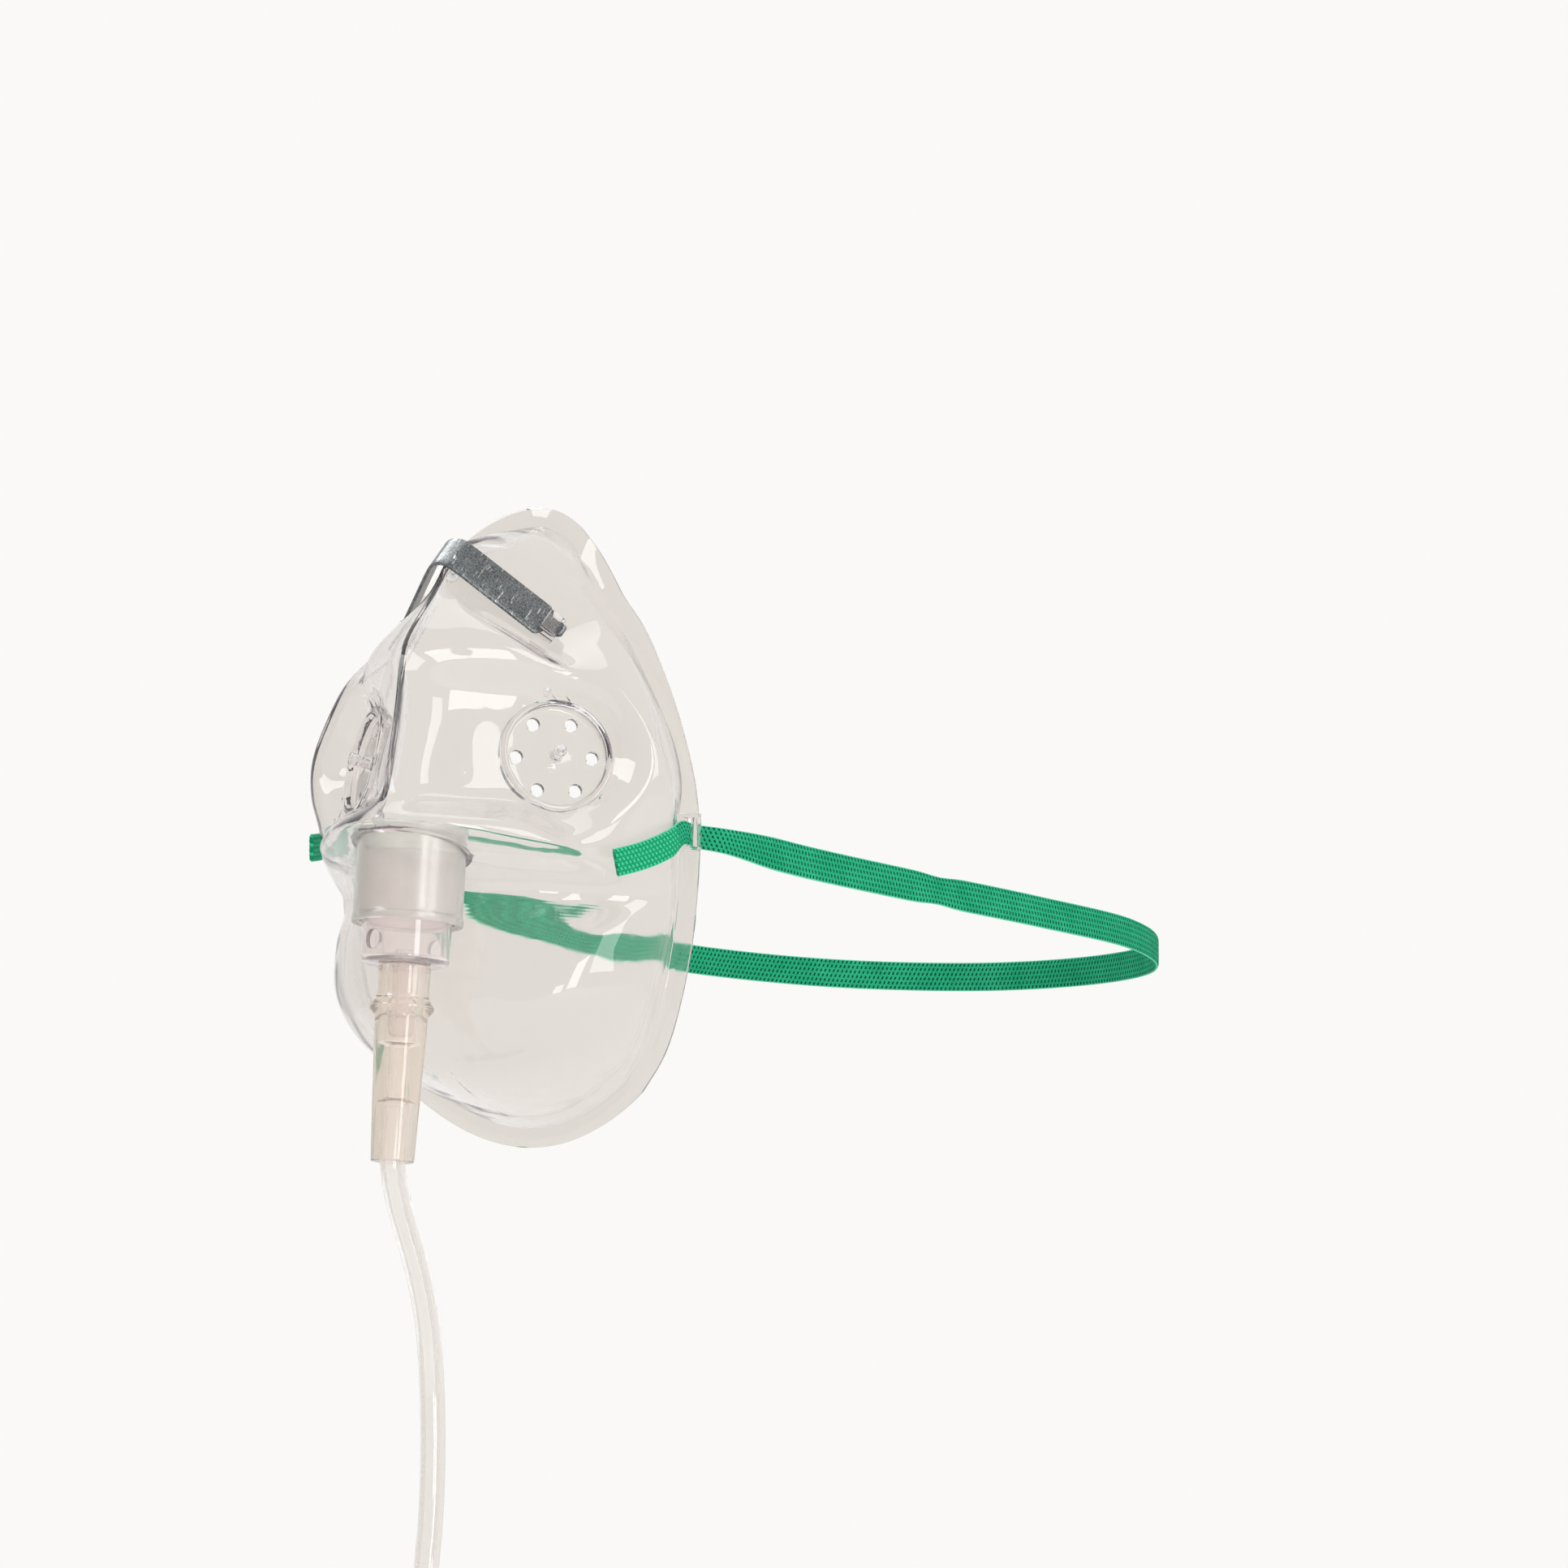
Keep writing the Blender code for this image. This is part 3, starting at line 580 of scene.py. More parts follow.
aluminium = rolledAluminium()
elastic = knittedElastic()
bandPlastic = whiteBand()
print("materials made")

faceSizes = {
    "height": 0.1366,
    "width": 0.0854,
    "depth": 0.058,
    "wall": 0.0012,
    "flangeWidth": 0.0044,
    "flangeTurn": 0.0005,  # how far the flange's outer edge lies back towards the face
    "rows": 168,
    "columns": 72,
    "flangeColumns": 6,
    "softening": 22,  # smoothing passes over the whole wall
    "ridgeSoftening": 12,
    "shoulderSoftening": 160,  # along the rim where the top edge turns into the side
    "shoulderWallSoftening": 40,
    "bendSoftening": 4,  # between wall and flange
}
ventSizes = {
    "diameter": 0.0256,
    "ringWidth": 0.0015,
    "ringDepth": 0.0032,
    "bead": 0.0006,
    "floor": 0.0012,
    "up": 0.194,  # up, across and out are shares of half the height, half the width and the depth
    "across": 0.574,
    "out": 0.448,
    "facing": 45.0,  # degrees that the disc faces sideways, and then up
    "rise": 13.0,
    "padMargin": 0.0006,  # flat border round the ring, and how wide it blends into the wall
    "padBlend": 0.0105,
    "facetReach": 0.75,  # how far the flat side of the nose is drawn out towards the ridge
    "facetEase": 0.013,
    "facetRise": 0.35,  # how much sooner it ends below the vent
    "cheekCorner": 0.55,  # how much tighter the blend is on the cheek side
    "cheekEase": 0.012,
    "ridgeEase": 0.0075,  # the facet ends this far from the ridge
    "formFade": 0.004,  # soft forms die out this close to the ring
    "holeDiameter": 0.003,
    "holeCircle": 0.0174,
    "holes": 6,
    "holeDrop": 0.0015,
    "gateAcross": -0.0014,
    "gateUp": 0.0019,
    "pinDiameter": 0.003,
    "pinLength": 0.0055,
    "pinHead": 0.0016,
    "pinNeck": 0.86,
    "cutDepth": 0.009,  # seats and holes are cut this deep
    "steps": 96,
}
# From the bridge of the nose down to the chin: ridgeUp, ridgeOut, rimAcross, rimUp, rimOut, ridgeRound,
# ridgeFall, wallRise, cheekSwell, as shares of half the height, the depth and half the width
faceSections = [
    (1.000, -0.13, 0.336, 0.893, -0.034, 0.16, 0.00, 0.00, 0.00),
    (0.944, 0.21, 0.417, 0.839, -0.017, 0.15, 0.00, 0.04, -0.02),
    (0.871, 0.50, 0.532, 0.717, 0.0, 0.11, 0.00, 0.03, -0.02),
    (0.710, 0.665, 0.683, 0.578, 0.0, 0.24, 0.13, 0.26, 0.30),
    (0.520, 0.88, 0.840, 0.350, 0.0, 0.44, 0.30, 0.30, 0.60),
    (0.264, 0.965, 0.942, 0.125, 0.0, 0.50, 0.37, 0.28, 0.49),
    (0.040, 1.020, 0.972, -0.050, 0.0, 0.30, 0.07, 0.32, 0.20),
    (-0.060, 1.045, 0.968, -0.170, 0.0, 0.44, 0.00, 0.26, 0.10),
    (-0.205, 0.59, 0.955, -0.270, 0.0, 0.32, 0.00, 0.20, 0.07),
    (-0.380, 0.62, 0.932, -0.390, 0.0, 0.42, 0.00, 0.32, 0.12),
    (-0.630, 0.64, 0.882, -0.560, 0.01, 0.46, 0.00, 0.40, 0.14),
    (-0.850, 0.43, 0.775, -0.725, -0.02, 0.46, 0.00, 0.26, 0.08),
    (-1.000, -0.12, 0.610, -0.842, -0.08, 0.32, 0.00, 0.00, 0.00),
]
# Soft dents and folds of the moulding, in mm: middle across and up, half sizes, turn in degrees, rise
mouldedForms = [
    (14.5, 55.5, 3.2, 7.0, 24, -1.0),  # oval dent beside the bridge
    (24.5, 43.0, 3.4, 4.6, 0, -1.0),  # pocket past the end of the clip
    (3.6, 22.0, 1.6, 13.0, 3, -0.30),  # hollow beside the ridge
    (6.6, 15.0, 1.7, 11.0, -4, 0.22),  # wave next to it
    (10.4, 11.5, 3.6, 7.0, 0, 1.90),  # round swell in front of the vent
    (33.0, -5.0, 12.0, 2.4, 27, 0.9),  # fold that rises to the lug
    (27.0, -12.5, 10.0, 1.8, 8, -0.9),  # pinch under the fold
    (33.0, -27.0, 20.0, 3.4, 60, 0.9),  # long roll from the chin up to the lug
    (25.0, -24.0, 17.0, 3.0, 60, -0.7),  # hollow in front of that roll
    (12.5, -38.0, 6.0, 2.2, 52, 0.5),  # short roll under the inlet
    (20.0, -52.0, 13.0, 3.0, 24, 0.5),  # roll over the chin
]
clipSizes = {
    "width": 0.0101,
    "tipWidth": 0.0042,
    "thickness": 0.0007,
    "edgeRound": 0.00014,
    "bend": Vector((0.0, -0.0322, 0.0586)),  # top of the bend over the ridge
    "end": Vector((0.0196, -0.0187, 0.0418)),
    "widthLean": Vector((-0.04, -0.80, -0.60)),  # the way its width runs, down and out
    "legLength": 0.0250,
    "bendLength": 0.0056,  # half the arc over the ridge
    "tipLength": 0.0026,
    "shoulder": 0.0016,
    "shoulderEase": 0.0012,
    "tipRound": 0.0008,
    "tipLift": 30.0,  # degrees that the tongue is bent up past the loop
    "tipEnd": 0.72,  # share of the tongue's width at its rounded end
    "seat": 0.0018,  # from the middle of the strip down to the wall
    "seatBlend": 0.0085,
    "seatMargin": 0.0004,
    "seatPast": 0.001,
    "loopLength": 0.0042,
    "loopWidth": 0.0066,
    "loopWall": 0.0009,
    "loopTop": 0.0017,
}


# Where the left leg ends in its loop, with X along the leg and Z out of the face
def clipEnd():
    leg = (clipSizes["end"] - clipSizes["bend"]).normalized()
    outward = clipSizes["widthLean"].cross(leg).normalized()
    if outward.y > 0:
        outward = -outward
    return frameAt(clipSizes["end"], leg, outward)


clipPlace = clipEnd()


def ventSite():
    point = Vector(
        (
            ventSizes["across"] * faceSizes["width"] / 2,
            -ventSizes["out"] * faceSizes["depth"],
            ventSizes["up"] * faceSizes["height"] / 2,
        )
    )
    facing, rise = math.radians(ventSizes["facing"]), math.radians(ventSizes["rise"])
    level = math.cos(rise)
    normal = Vector((level * math.sin(facing), -level * math.cos(facing), math.sin(rise)))
    across = Vector((math.cos(facing), math.sin(facing), 0.0))
    return point, across, normal


# The outer surface on one section, a share of the way from the ridge to the rim
def facePoint(section, along, forms=True):
    ridgeUp, ridgeOut, rimAcross, rimUp, rimOut, ridgeRound, ridgeFall, wallRise, cheekSwell = section
    halfWidth, halfHeight = faceSizes["width"] / 2, faceSizes["height"] / 2
    radius = ventSizes["diameter"] / 2
    rest = 1 - along
    weights = (rest**3, 3 * rest**2 * along, 3 * rest * along**2, along**3)
    across = (0, ridgeRound, rimAcross + cheekSwell, rimAcross)
    out = (ridgeOut, ridgeOut - ridgeFall, rimOut + wallRise, rimOut)
    x = halfWidth * sum(w * a for w, a in zip(weights, across))
    y = -faceSizes["depth"] * sum(w * o for w, o in zip(weights, out))
    share = x / (halfWidth * rimAcross)
    point = Vector((x, y, halfHeight * (ridgeUp + (rimUp - ridgeUp) * share**2)))
    # The side of the nose is a flat facet that holds the vent and runs on to the sharp ridge
    site, sideways, normal = ventSite()
    offset = point - site
    height, right, up = offset.dot(normal), offset.dot(sideways), offset.dot(normal.cross(sideways))
    noseSide = easeShare(-right / ventSizes["facetEase"])
    if right < 0:
        right *= 1 - ventSizes["facetReach"] * noseSide
    if up < 0:
        up *= 1 + ventSizes["facetRise"] * noseSide
    distance = math.hypot(right, up)
    # Towards the cheek it ends in a short round corner
    cheekSide = easeShare((right + max(up, 0.0) * 0.5) / ventSizes["cheekEase"])
    spread = ventSizes["padBlend"] * (1 - ventSizes["cheekCorner"] * cheekSide)
    blend = easeShare((distance - radius - ventSizes["padMargin"]) / spread)
    point = point - height * (1 - blend) * easeShare(point.x / ventSizes["ridgeEase"]) * normal
    if forms:
        lift = 0.0
        for formX, formZ, sizeX, sizeZ, turn, rise in mouldedForms:
            formRight, formUp = point.x * 1000 - formX, point.z * 1000 - formZ
            cosine, sine = math.cos(math.radians(turn)), math.sin(math.radians(turn))
            a = (formRight * cosine + formUp * sine) / sizeX
            b = (formUp * cosine - formRight * sine) / sizeZ
            if a * a + b * b < 9:
                lift += rise * 0.001 * math.exp(-a * a - b * b)
        fade = easeShare((1 - along) / 0.12) * easeShare(x / 0.002)
        fade *= easeShare(((point - site).length - radius) / ventSizes["formFade"])
        outward = Vector((point.x, point.y - 0.012, 0.0)).normalized()
        point = point + outward * lift * fade
    # Under the nose clip the wall steps down to a flat seat
    offset = clipPlace.inverted() @ point
    aside = max(abs(offset.y) - clipSizes["width"] / 2 - clipSizes["seatMargin"], 0.0)
    pastTip = offset.x - clipSizes["tipLength"] - clipSizes["seatPast"]
    beyond = max(pastTip, -offset.x - clipSizes["legLength"], 0.0)
    hold = 1 - easeShare(math.hypot(aside, beyond) / clipSizes["seatBlend"])
    sink = max(offset.z + clipSizes["seat"], 0.0) * hold
    return point - sink * easeShare(point.x / 0.003) * (clipPlace.to_3x3() @ Vector((0.0, 0.0, 1.0)))


def faceSheet():
    bm = bmesh.new()
    rows, columns = faceSizes["rows"], faceSizes["columns"]
    grid = []
    for row in range(rows + 1):
        section = throughPoints(faceSections, row * (len(faceSections) - 1) / rows)
        grid.append([bm.verts.new(facePoint(section, c / columns)) for c in range(columns + 1)])
    for upper, lower in zip(grid, grid[1:]):
        for c in range(columns):
            bm.faces.new((upper[c], lower[c], lower[c + 1], upper[c + 1]))
    # Soft PVC has no creases but the ridge and the edge of the vent's pad
    site = ventSite()[0]
    padReach = ventSizes["diameter"] / 2 + 0.0004
    wall = [v for row in grid[2:-2] for v in row[1:-2] if (v.co - site).length > padReach]
    smoothPasses(bm, wall, faceSizes["softening"])
    smoothPasses(bm, [row[0] for row in grid[2:-2]], faceSizes["ridgeSoftening"], sideways=False)
    rim = grid[0][:-1] + [row[-1] for row in grid] + grid[-1][-2::-1]
    # The shoulder where the top edge turns into the side is rounded, and the wall below it follows
    spread = columns // 3
    for _ in range(faceSizes["shoulderSoftening"]):
        for index in range(columns - spread, columns + spread):
            rim[index].co = (rim[index - 1].co + rim[index].co * 2 + rim[index + 1].co) / 4
    near = [row[c] for row in grid[1:spread] for c in range(columns - spread, columns)]
    smoothPasses(bm, near, faceSizes["shoulderWallSoftening"])
    previous = rim
    directions = []
    for index, vert in enumerate(rim):
        run = rim[min(index + 2, len(rim) - 1)].co - rim[max(index - 2, 0)].co
        outward = Vector((-run.z, 0.0, run.x)).normalized()
        if vert.co.x < 1e-6:
            outward = Vector((0.0, 0.0, math.copysign(1.0, vert.co.z)))
        directions.append(outward)
    for step in range(1, faceSizes["flangeColumns"] + 1):
        share = step / faceSizes["flangeColumns"]
        back = Vector((0.0, faceSizes["flangeTurn"] * share**2, 0.0))
        reach = faceSizes["flangeWidth"] * share
        line = [bm.verts.new(vert.co + reach * outward + back) for vert, outward in zip(rim, directions)]
        for index in range(len(rim) - 1):
            bm.faces.new((previous[index], previous[index + 1], line[index + 1], line[index]))
        previous = line
    bmesh.ops.recalc_face_normals(bm, faces=bm.faces)
    nose = max(bm.faces, key=lambda face: -face.calc_center_median().y)
    if nose.normal.y > 0:
        bmesh.ops.reverse_faces(bm, faces=bm.faces)
    # The bend between the wall and the flange is rolled a little
    bend = [row[c] for row in grid for c in (-3, -2, -1)]
    smoothPasses(bm, [v for v in bend if v.co.x > 1e-6], faceSizes["bendSoftening"])
    return bm


inletSizes = {
    "tilt": 6.5,
    "foot": Vector((0.0, -0.0488, -0.0246)),
    "collarDiameter": 0.0243,
    "collarWall": 0.0012,
    "collarLength": 0.0205,
    "collarBead": 0.0004,
    "lipWidth": 0.0013,
    "lipThickness": 0.0012,
    "lipTilt": 17.0,
    "lipHeight": 0.0172,
    "fitGap": 0.0003,
    "insert": 0.0155,
    "cupDiameter": 0.0195,
    "cupHeight": 0.0088,
    "cupWall": 0.0011,
    "cupRound": 0.0014,
    "airHoleDiameter": 0.0044,
    "airHoleDrop": 0.0042,
    "airHoleTurn": -19.0,  # degrees from the front
    "airHoles": 2,
    "airHoleSteps": 48,
    "nippleDiameter": 0.0046,
    "nippleBore": 0.0022,
    "nippleLength": 0.0155,
    "barbDiameter": 0.0060,
    "barbLength": 0.0068,
    "webs": 4,
    "web": (0.0026, 0.0007, 0.0022),
    "steps": 112,
}


# The inlet's axis, +Z upwards along it, measured down from the collar's foot
def inletPlace(down=0.0):
    tilt = Matrix.Rotation(-math.radians(inletSizes["tilt"]), 4, "X")
    return Matrix.Translation(inletSizes["foot"]) @ tilt @ Matrix.Translation((0.0, 0.0, -down))


# The dishes with their rings and pins, the seats cut for them and the holes through them
def ventPieces():
    site, across, normal = ventSite()
    place = frameAt(site, across, normal)
    radius = ventSizes["diameter"] / 2
    inner = radius - ventSizes["ringWidth"]
    floorTop = -ventSizes["ringDepth"] + ventSizes["floor"]
    pin = ventSizes["pinDiameter"] / 2
    neck = pin * ventSizes["pinNeck"]
    pinTop = floorTop + ventSizes["pinLength"]
    deep, middle = ventSizes["cutDepth"], radius - ventSizes["ringWidth"] / 2
    corners = [
        (pin, pinTop, 0.0007),
        (neck, pinTop - ventSizes["pinHead"], 0.0005),
        (neck, floorTop, 0.0006),
        (inner, floorTop, 0.0005),
        (inner, ventSizes["bead"], 0.0006),
        (radius, ventSizes["bead"], 0.0006),
        (radius + 0.0001, -ventSizes["ringDepth"], 0.0006),
        (0.0, -ventSizes["ringDepth"], 0.0),
        (0.0, pinTop, 0.0),
    ]
    seats, dishes, holes = [], [], []
    # A small gate mark is left by the mould just over each ring
    gate = [(0.0, 0.0009, 0.0), (0.0009, 0.0007, 0.0006), (0.0010, -0.0012, 0.0), (0.0, -0.0012, 0.0)]
    for side, spot in (("left", place), ("right", otherCheek(place))):
        seat = turnedMesh(rodCorners(middle, deep, -deep), ventSizes["steps"], spot)
        seats.append(meshPiece(f"ventSeat_{side}", seat))
        dish = turnedMesh(corners, ventSizes["steps"], spot)
        dishes.append(meshPiece(f"ventDish_{side}", dish, mouldedPvc))
        mark = spot @ Matrix.Translation((ventSizes["gateAcross"], radius + ventSizes["gateUp"], 0.0))
        dishes.append(meshPiece(f"gateMark_{side}", turnedMesh(gate, 24, mark), mouldedPvc))
        holes.append(holePattern(f"ventHoles_{side}", spot))
    return seats, dishes, holes


# The ring of round holes in a vent: one drill shape set out on a circle by Geometry Nodes
def holePattern(name, spot):
    sizes = {
        "Holes": ventSizes["holes"],
        "Circle Radius": ventSizes["holeCircle"] / 2,
        "Hole Radius": ventSizes["holeDiameter"] / 2,
        "Depth": ventSizes["cutDepth"],
    }
    tree, values = sizedTree(name, sizes)
    given = addNode(tree, "NodeGroupInput")
    circle = addNode(
        tree,
        "GeometryNodeMeshCircle",
        {"Vertices": given.outputs["Holes"], "Radius": given.outputs["Circle Radius"]},
    )
    drill = addNode(
        tree,
        "GeometryNodeMeshCylinder",
        {"Vertices": 28, "Radius": given.outputs["Hole Radius"], "Depth": given.outputs["Depth"]},
    )
    placed = addNode(tree, "GeometryNodeInstanceOnPoints", {"Points": circle, "Instance": drill})
    realised = addNode(tree, "GeometryNodeRealizeInstances", {"Geometry": placed})
    finish = addNode(tree, "GeometryNodeSetMaterial", {"Geometry": realised, "Material": mouldedPvc})
    addNode(tree, "NodeGroupOutput", {"Geometry": finish})
    piece = linkedObject(name, bpy.data.meshes.new(name))
    addTree(piece, tree, values)
    settleModifiers(piece)
    piece.data.transform(spot @ Matrix.Translation((0.0, 0.0, -ventSizes["holeDrop"])))
    return piece


# The frosted collar with its rolled foot and lip, and the bore through it
def collarPieces():
    outer = inletSizes["collarDiameter"] / 2
    bead = inletSizes["collarBead"]
    tube = turnedMesh(
        [
            (outer - 0.0002, inletSizes["collarLength"], 0.0),
            (outer - 0.0002, 0.0022, 0.0008),
            (outer + bead * 0.2, 0.0014, 0.0006),
            (outer + bead * 0.2, 0.0, 0.0005),
            (0.0, 0.0, 0.0),
            (0.0, inletSizes["collarLength"], 0.0),
        ],
        inletSizes["steps"],
        inletPlace(),
    )
    lean = Matrix.Rotation(-math.radians(inletSizes["lipTilt"] - inletSizes["tilt"]), 4, "X")
    half = inletSizes["lipThickness"] / 2
    lip = turnedMesh(
        [
            (outer + inletSizes["lipWidth"], half, 0.0006),
            (outer + inletSizes["lipWidth"], -half, 0.0006),
            (0.0, -half, 0.0),
            (0.0, half, 0.0),
        ],
        inletSizes["steps"],
        inletPlace(-inletSizes["lipHeight"]) @ lean,
    )
    inner = outer - inletSizes["collarWall"]
    high = inletSizes["collarLength"] + 0.001
    bore = turnedMesh(rodCorners(inner, high, -0.002), inletSizes["steps"], inletPlace())
    joined = [meshPiece("collarTube", tube, frostedPvc), meshPiece("collarLip", lip, frostedPvc)]
    return joined, [meshPiece("collarBore", bore, frostedPvc)]


strapSizes = {
    "width": 0.0074,
    "tailWidth": 0.0062,
    "gatherAt": 0.079,
    "gatherLength": 0.005,
    "gather": 0.13,
    "rightTailRise": (0.0052, 0.0038, 0.0018),
    "thickness": 0.001,
    "ribHeight": 0.00009,
    "columnsPerRib": 4,
    "easeBefore": 0.010,  # the strap takes this long to narrow into the slot, and to widen after it
    "easeAfter": 0.026,
    "looseFrom": 0.006,  # past the lug the tail is no longer stretched
    "lugStation": 6.25,  # section of the face that carries the lug
    "lugHeight": 0.0083,
    "lugWidth": 0.0052,
    "lugDepth": 0.0022,
    "slotWidth": 0.0022,
    "slotMargin": 0.0010,
    "slotPlay": 0.0012,
    "lugUp": -0.0029,
}


def lugCentre():
    rim = facePoint(throughPoints(faceSections, strapSizes["lugStation"]), 1.0, forms=False)
    return Vector(
        (
            rim.x + strapSizes["lugWidth"] / 2 - 0.0002,
            rim.y - strapSizes["lugDepth"] / 2 + faceSizes["wall"] / 2,
            strapSizes["lugUp"],
        )
    )


def lugPieces():
    joined, slots = [], []
    centre = lugCentre()
    lugSize = (strapSizes["lugWidth"], strapSizes["lugDepth"], strapSizes["lugHeight"])
    slotHeight = strapSizes["lugHeight"] - 2 * strapSizes["slotMargin"]
    slotSize = (strapSizes["slotWidth"], strapSizes["lugDepth"] + 0.006, slotHeight)
    for side, flip in (("left", 1), ("right", -1)):
        place = Matrix.Translation((flip * centre.x, centre.y, centre.z))
        lug = blockMesh(lugSize, place, 0.0003)
        slot = blockMesh(slotSize, place)
        joined.append(meshPiece(f"lug_{side}", lug, mouldedPvc))
        slots.append(meshPiece(f"lugSlot_{side}", slot, mouldedPvc))
    return joined, slots


def loopPieces():
    joined, slots = [], []
    end = clipPlace @ Matrix.Translation((-clipSizes["loopLength"] * 0.2, 0.0, 0.0))
    base = -(clipSizes["seat"] + faceSizes["wall"] * 0.5)
    top = clipSizes["loopTop"]
    loopSize = (clipSizes["loopLength"], clipSizes["loopWidth"], top - base)
    opening = (
        clipSizes["loopLength"] + 0.004,
        clipSizes["loopWidth"] - 2 * clipSizes["loopWall"],
        clipSizes["thickness"] + 2 * inletSizes["fitGap"],
    )
    for side, place in (("left", end), ("right", otherCheek(end))):
        raised = place @ Matrix.Translation((0, 0, (base + top) / 2))
        loop = blockMesh(loopSize, raised, 0.0004)
        joined.append(meshPiece(f"clipLoop_{side}", loop, mouldedPvc))
        slots.append(meshPiece(f"clipLoopSlot_{side}", blockMesh(opening, place), mouldedPvc))
    return joined, slots


def addMaskShell():
    shell = meshPiece("clearFacepiece", faceSheet(), mouldedPvc, 60.0)
    mirror = shell.modifiers.new("otherHalf", "MIRROR")
    mirror.merge_threshold = 0.00001
    wall = shell.modifiers.new("wall", "SOLIDIFY")
    wall.thickness = faceSizes["wall"]
    wall.offset = -1.0
    wall.use_even_offset = True
    settleModifiers(shell)
    seats, dishes, holes = ventPieces()
    collar, bore = collarPieces()
    lugs, lugSlots = lugPieces()
    loops, loopSlots = loopPieces()
    tools = seats + dishes + holes + collar + bore + lugs + lugSlots + loops + loopSlots
    # Seats are cut, then dishes, collar, lugs and loops joined on, and the openings cut last
    booleanStep(shell, "DIFFERENCE", seats)
    booleanStep(shell, "UNION", dishes + collar + lugs + loops)
    booleanStep(shell, "DIFFERENCE", bore + holes + lugSlots + loopSlots)
    settleModifiers(shell)
    removePieces(tools)
    shadeSmooth(shell.data, 40)
    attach(shell, "root")
    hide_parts("mask_shell")
    return shell


shell = addMaskShell()
print("facepiece made:", len(shell.data.polygons), "faces")


# One strip with flat legs, a round bend over the ridge and a tongue lifted past each loop
def addNoseClip():
    axes, endPoint = clipPlace.to_3x3(), clipPlace.translation
    leg = (endPoint - clipSizes["bend"]).normalized()
    legWidth = (axes @ Vector((0.0, 1.0, 0.0))).normalized()
    if legWidth.z > 0:
        legWidth = -legWidth
    crown = Vector((0.0, legWidth.y, legWidth.z)).normalized()
    level = Vector((1.0, 0.0, 0.0))
    bendSteps, legSteps, tipSteps = 12, 30, 4
    places, spot = [(clipSizes["bend"].copy(), crown)], clipSizes["bend"].copy()
    for step in range(1, bendSteps + 1):
        # From the middle of the bend the strip turns evenly from level into the leg
        share = step / bendSteps
        angle = math.pi / 2 * (share - 0.5 / bendSteps)
        run = Vector((math.cos(angle), 0.0, 0.0)) + (leg - leg.x * level) * math.sin(angle)
        toLeg = easeShare(share)
        run = (run.normalized() * (1 - toLeg) + leg * toLeg).normalized()
        spot = spot + run * clipSizes["bendLength"] / bendSteps
        places.append((spot.copy(), crown.lerp(legWidth, toLeg).normalized()))
    start = spot.copy()
    for step in range(1, legSteps + 1):
        places.append((start.lerp(endPoint, step / legSteps), legWidth))
    outward = (axes @ Vector((0.0, 0.0, 1.0))).normalized()
    lift = math.radians(clipSizes["tipLift"])
    along = (endPoint - start).normalized()
    tongue = along * math.cos(lift) + outward * math.sin(lift)
    for step in range(1, tipSteps + 1):
        places.append((endPoint + tongue * clipSizes["tipLength"] * step / tipSteps, legWidth))
    flip = Vector((-1.0, 1.0, 1.0))
    path = [(spot * flip, width * flip) for spot, width in reversed(places[1:])] + places
    count, columns = len(places) - 1, 6
    bm = bmesh.new()
    rows = []
    travelled = [0.0]
    for first, second in zip(places, places[1:]):
        travelled.append(travelled[-1] + (second[0] - first[0]).length)
    for index, (spot, width) in enumerate(path):
        # Past the shoulder the strip narrows to its tongue, whose end is cut round
        left = travelled[-1] - travelled[abs(index - count)]
        pastShoulder = left - clipSizes["tipLength"] - clipSizes["shoulder"]
        share = easeShare(pastShoulder / clipSizes["shoulderEase"])
        reach = clipSizes["tipWidth"] + (clipSizes["width"] - clipSizes["tipWidth"]) * share
        if left < clipSizes["tipRound"]:
            reach *= clipSizes["tipEnd"] + (1 - clipSizes["tipEnd"]) * left / clipSizes["tipRound"]
        rows.append([bm.verts.new(spot + width * reach * (c / columns - 0.5)) for c in range(columns + 1)])
    for first, second in zip(rows, rows[1:]):
        for c in range(columns):
            bm.faces.new((first[c], second[c], second[c + 1], first[c + 1]))
    bmesh.ops.recalc_face_normals(bm, faces=bm.faces)
    clip = meshPiece("aluminiumNoseClip", bm, aluminium, 40.0)
    gauge = clip.modifiers.new("gauge", "SOLIDIFY")
    gauge.thickness = clipSizes["thickness"]
    gauge.offset = 0.0
    addBevel(clip, clipSizes["edgeRound"])
    settleModifiers(clip)
    shadeSmooth(clip.data, 40)
    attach(clip, "root")
    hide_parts("nose_clip")


addNoseClip()
print("nose clip made")


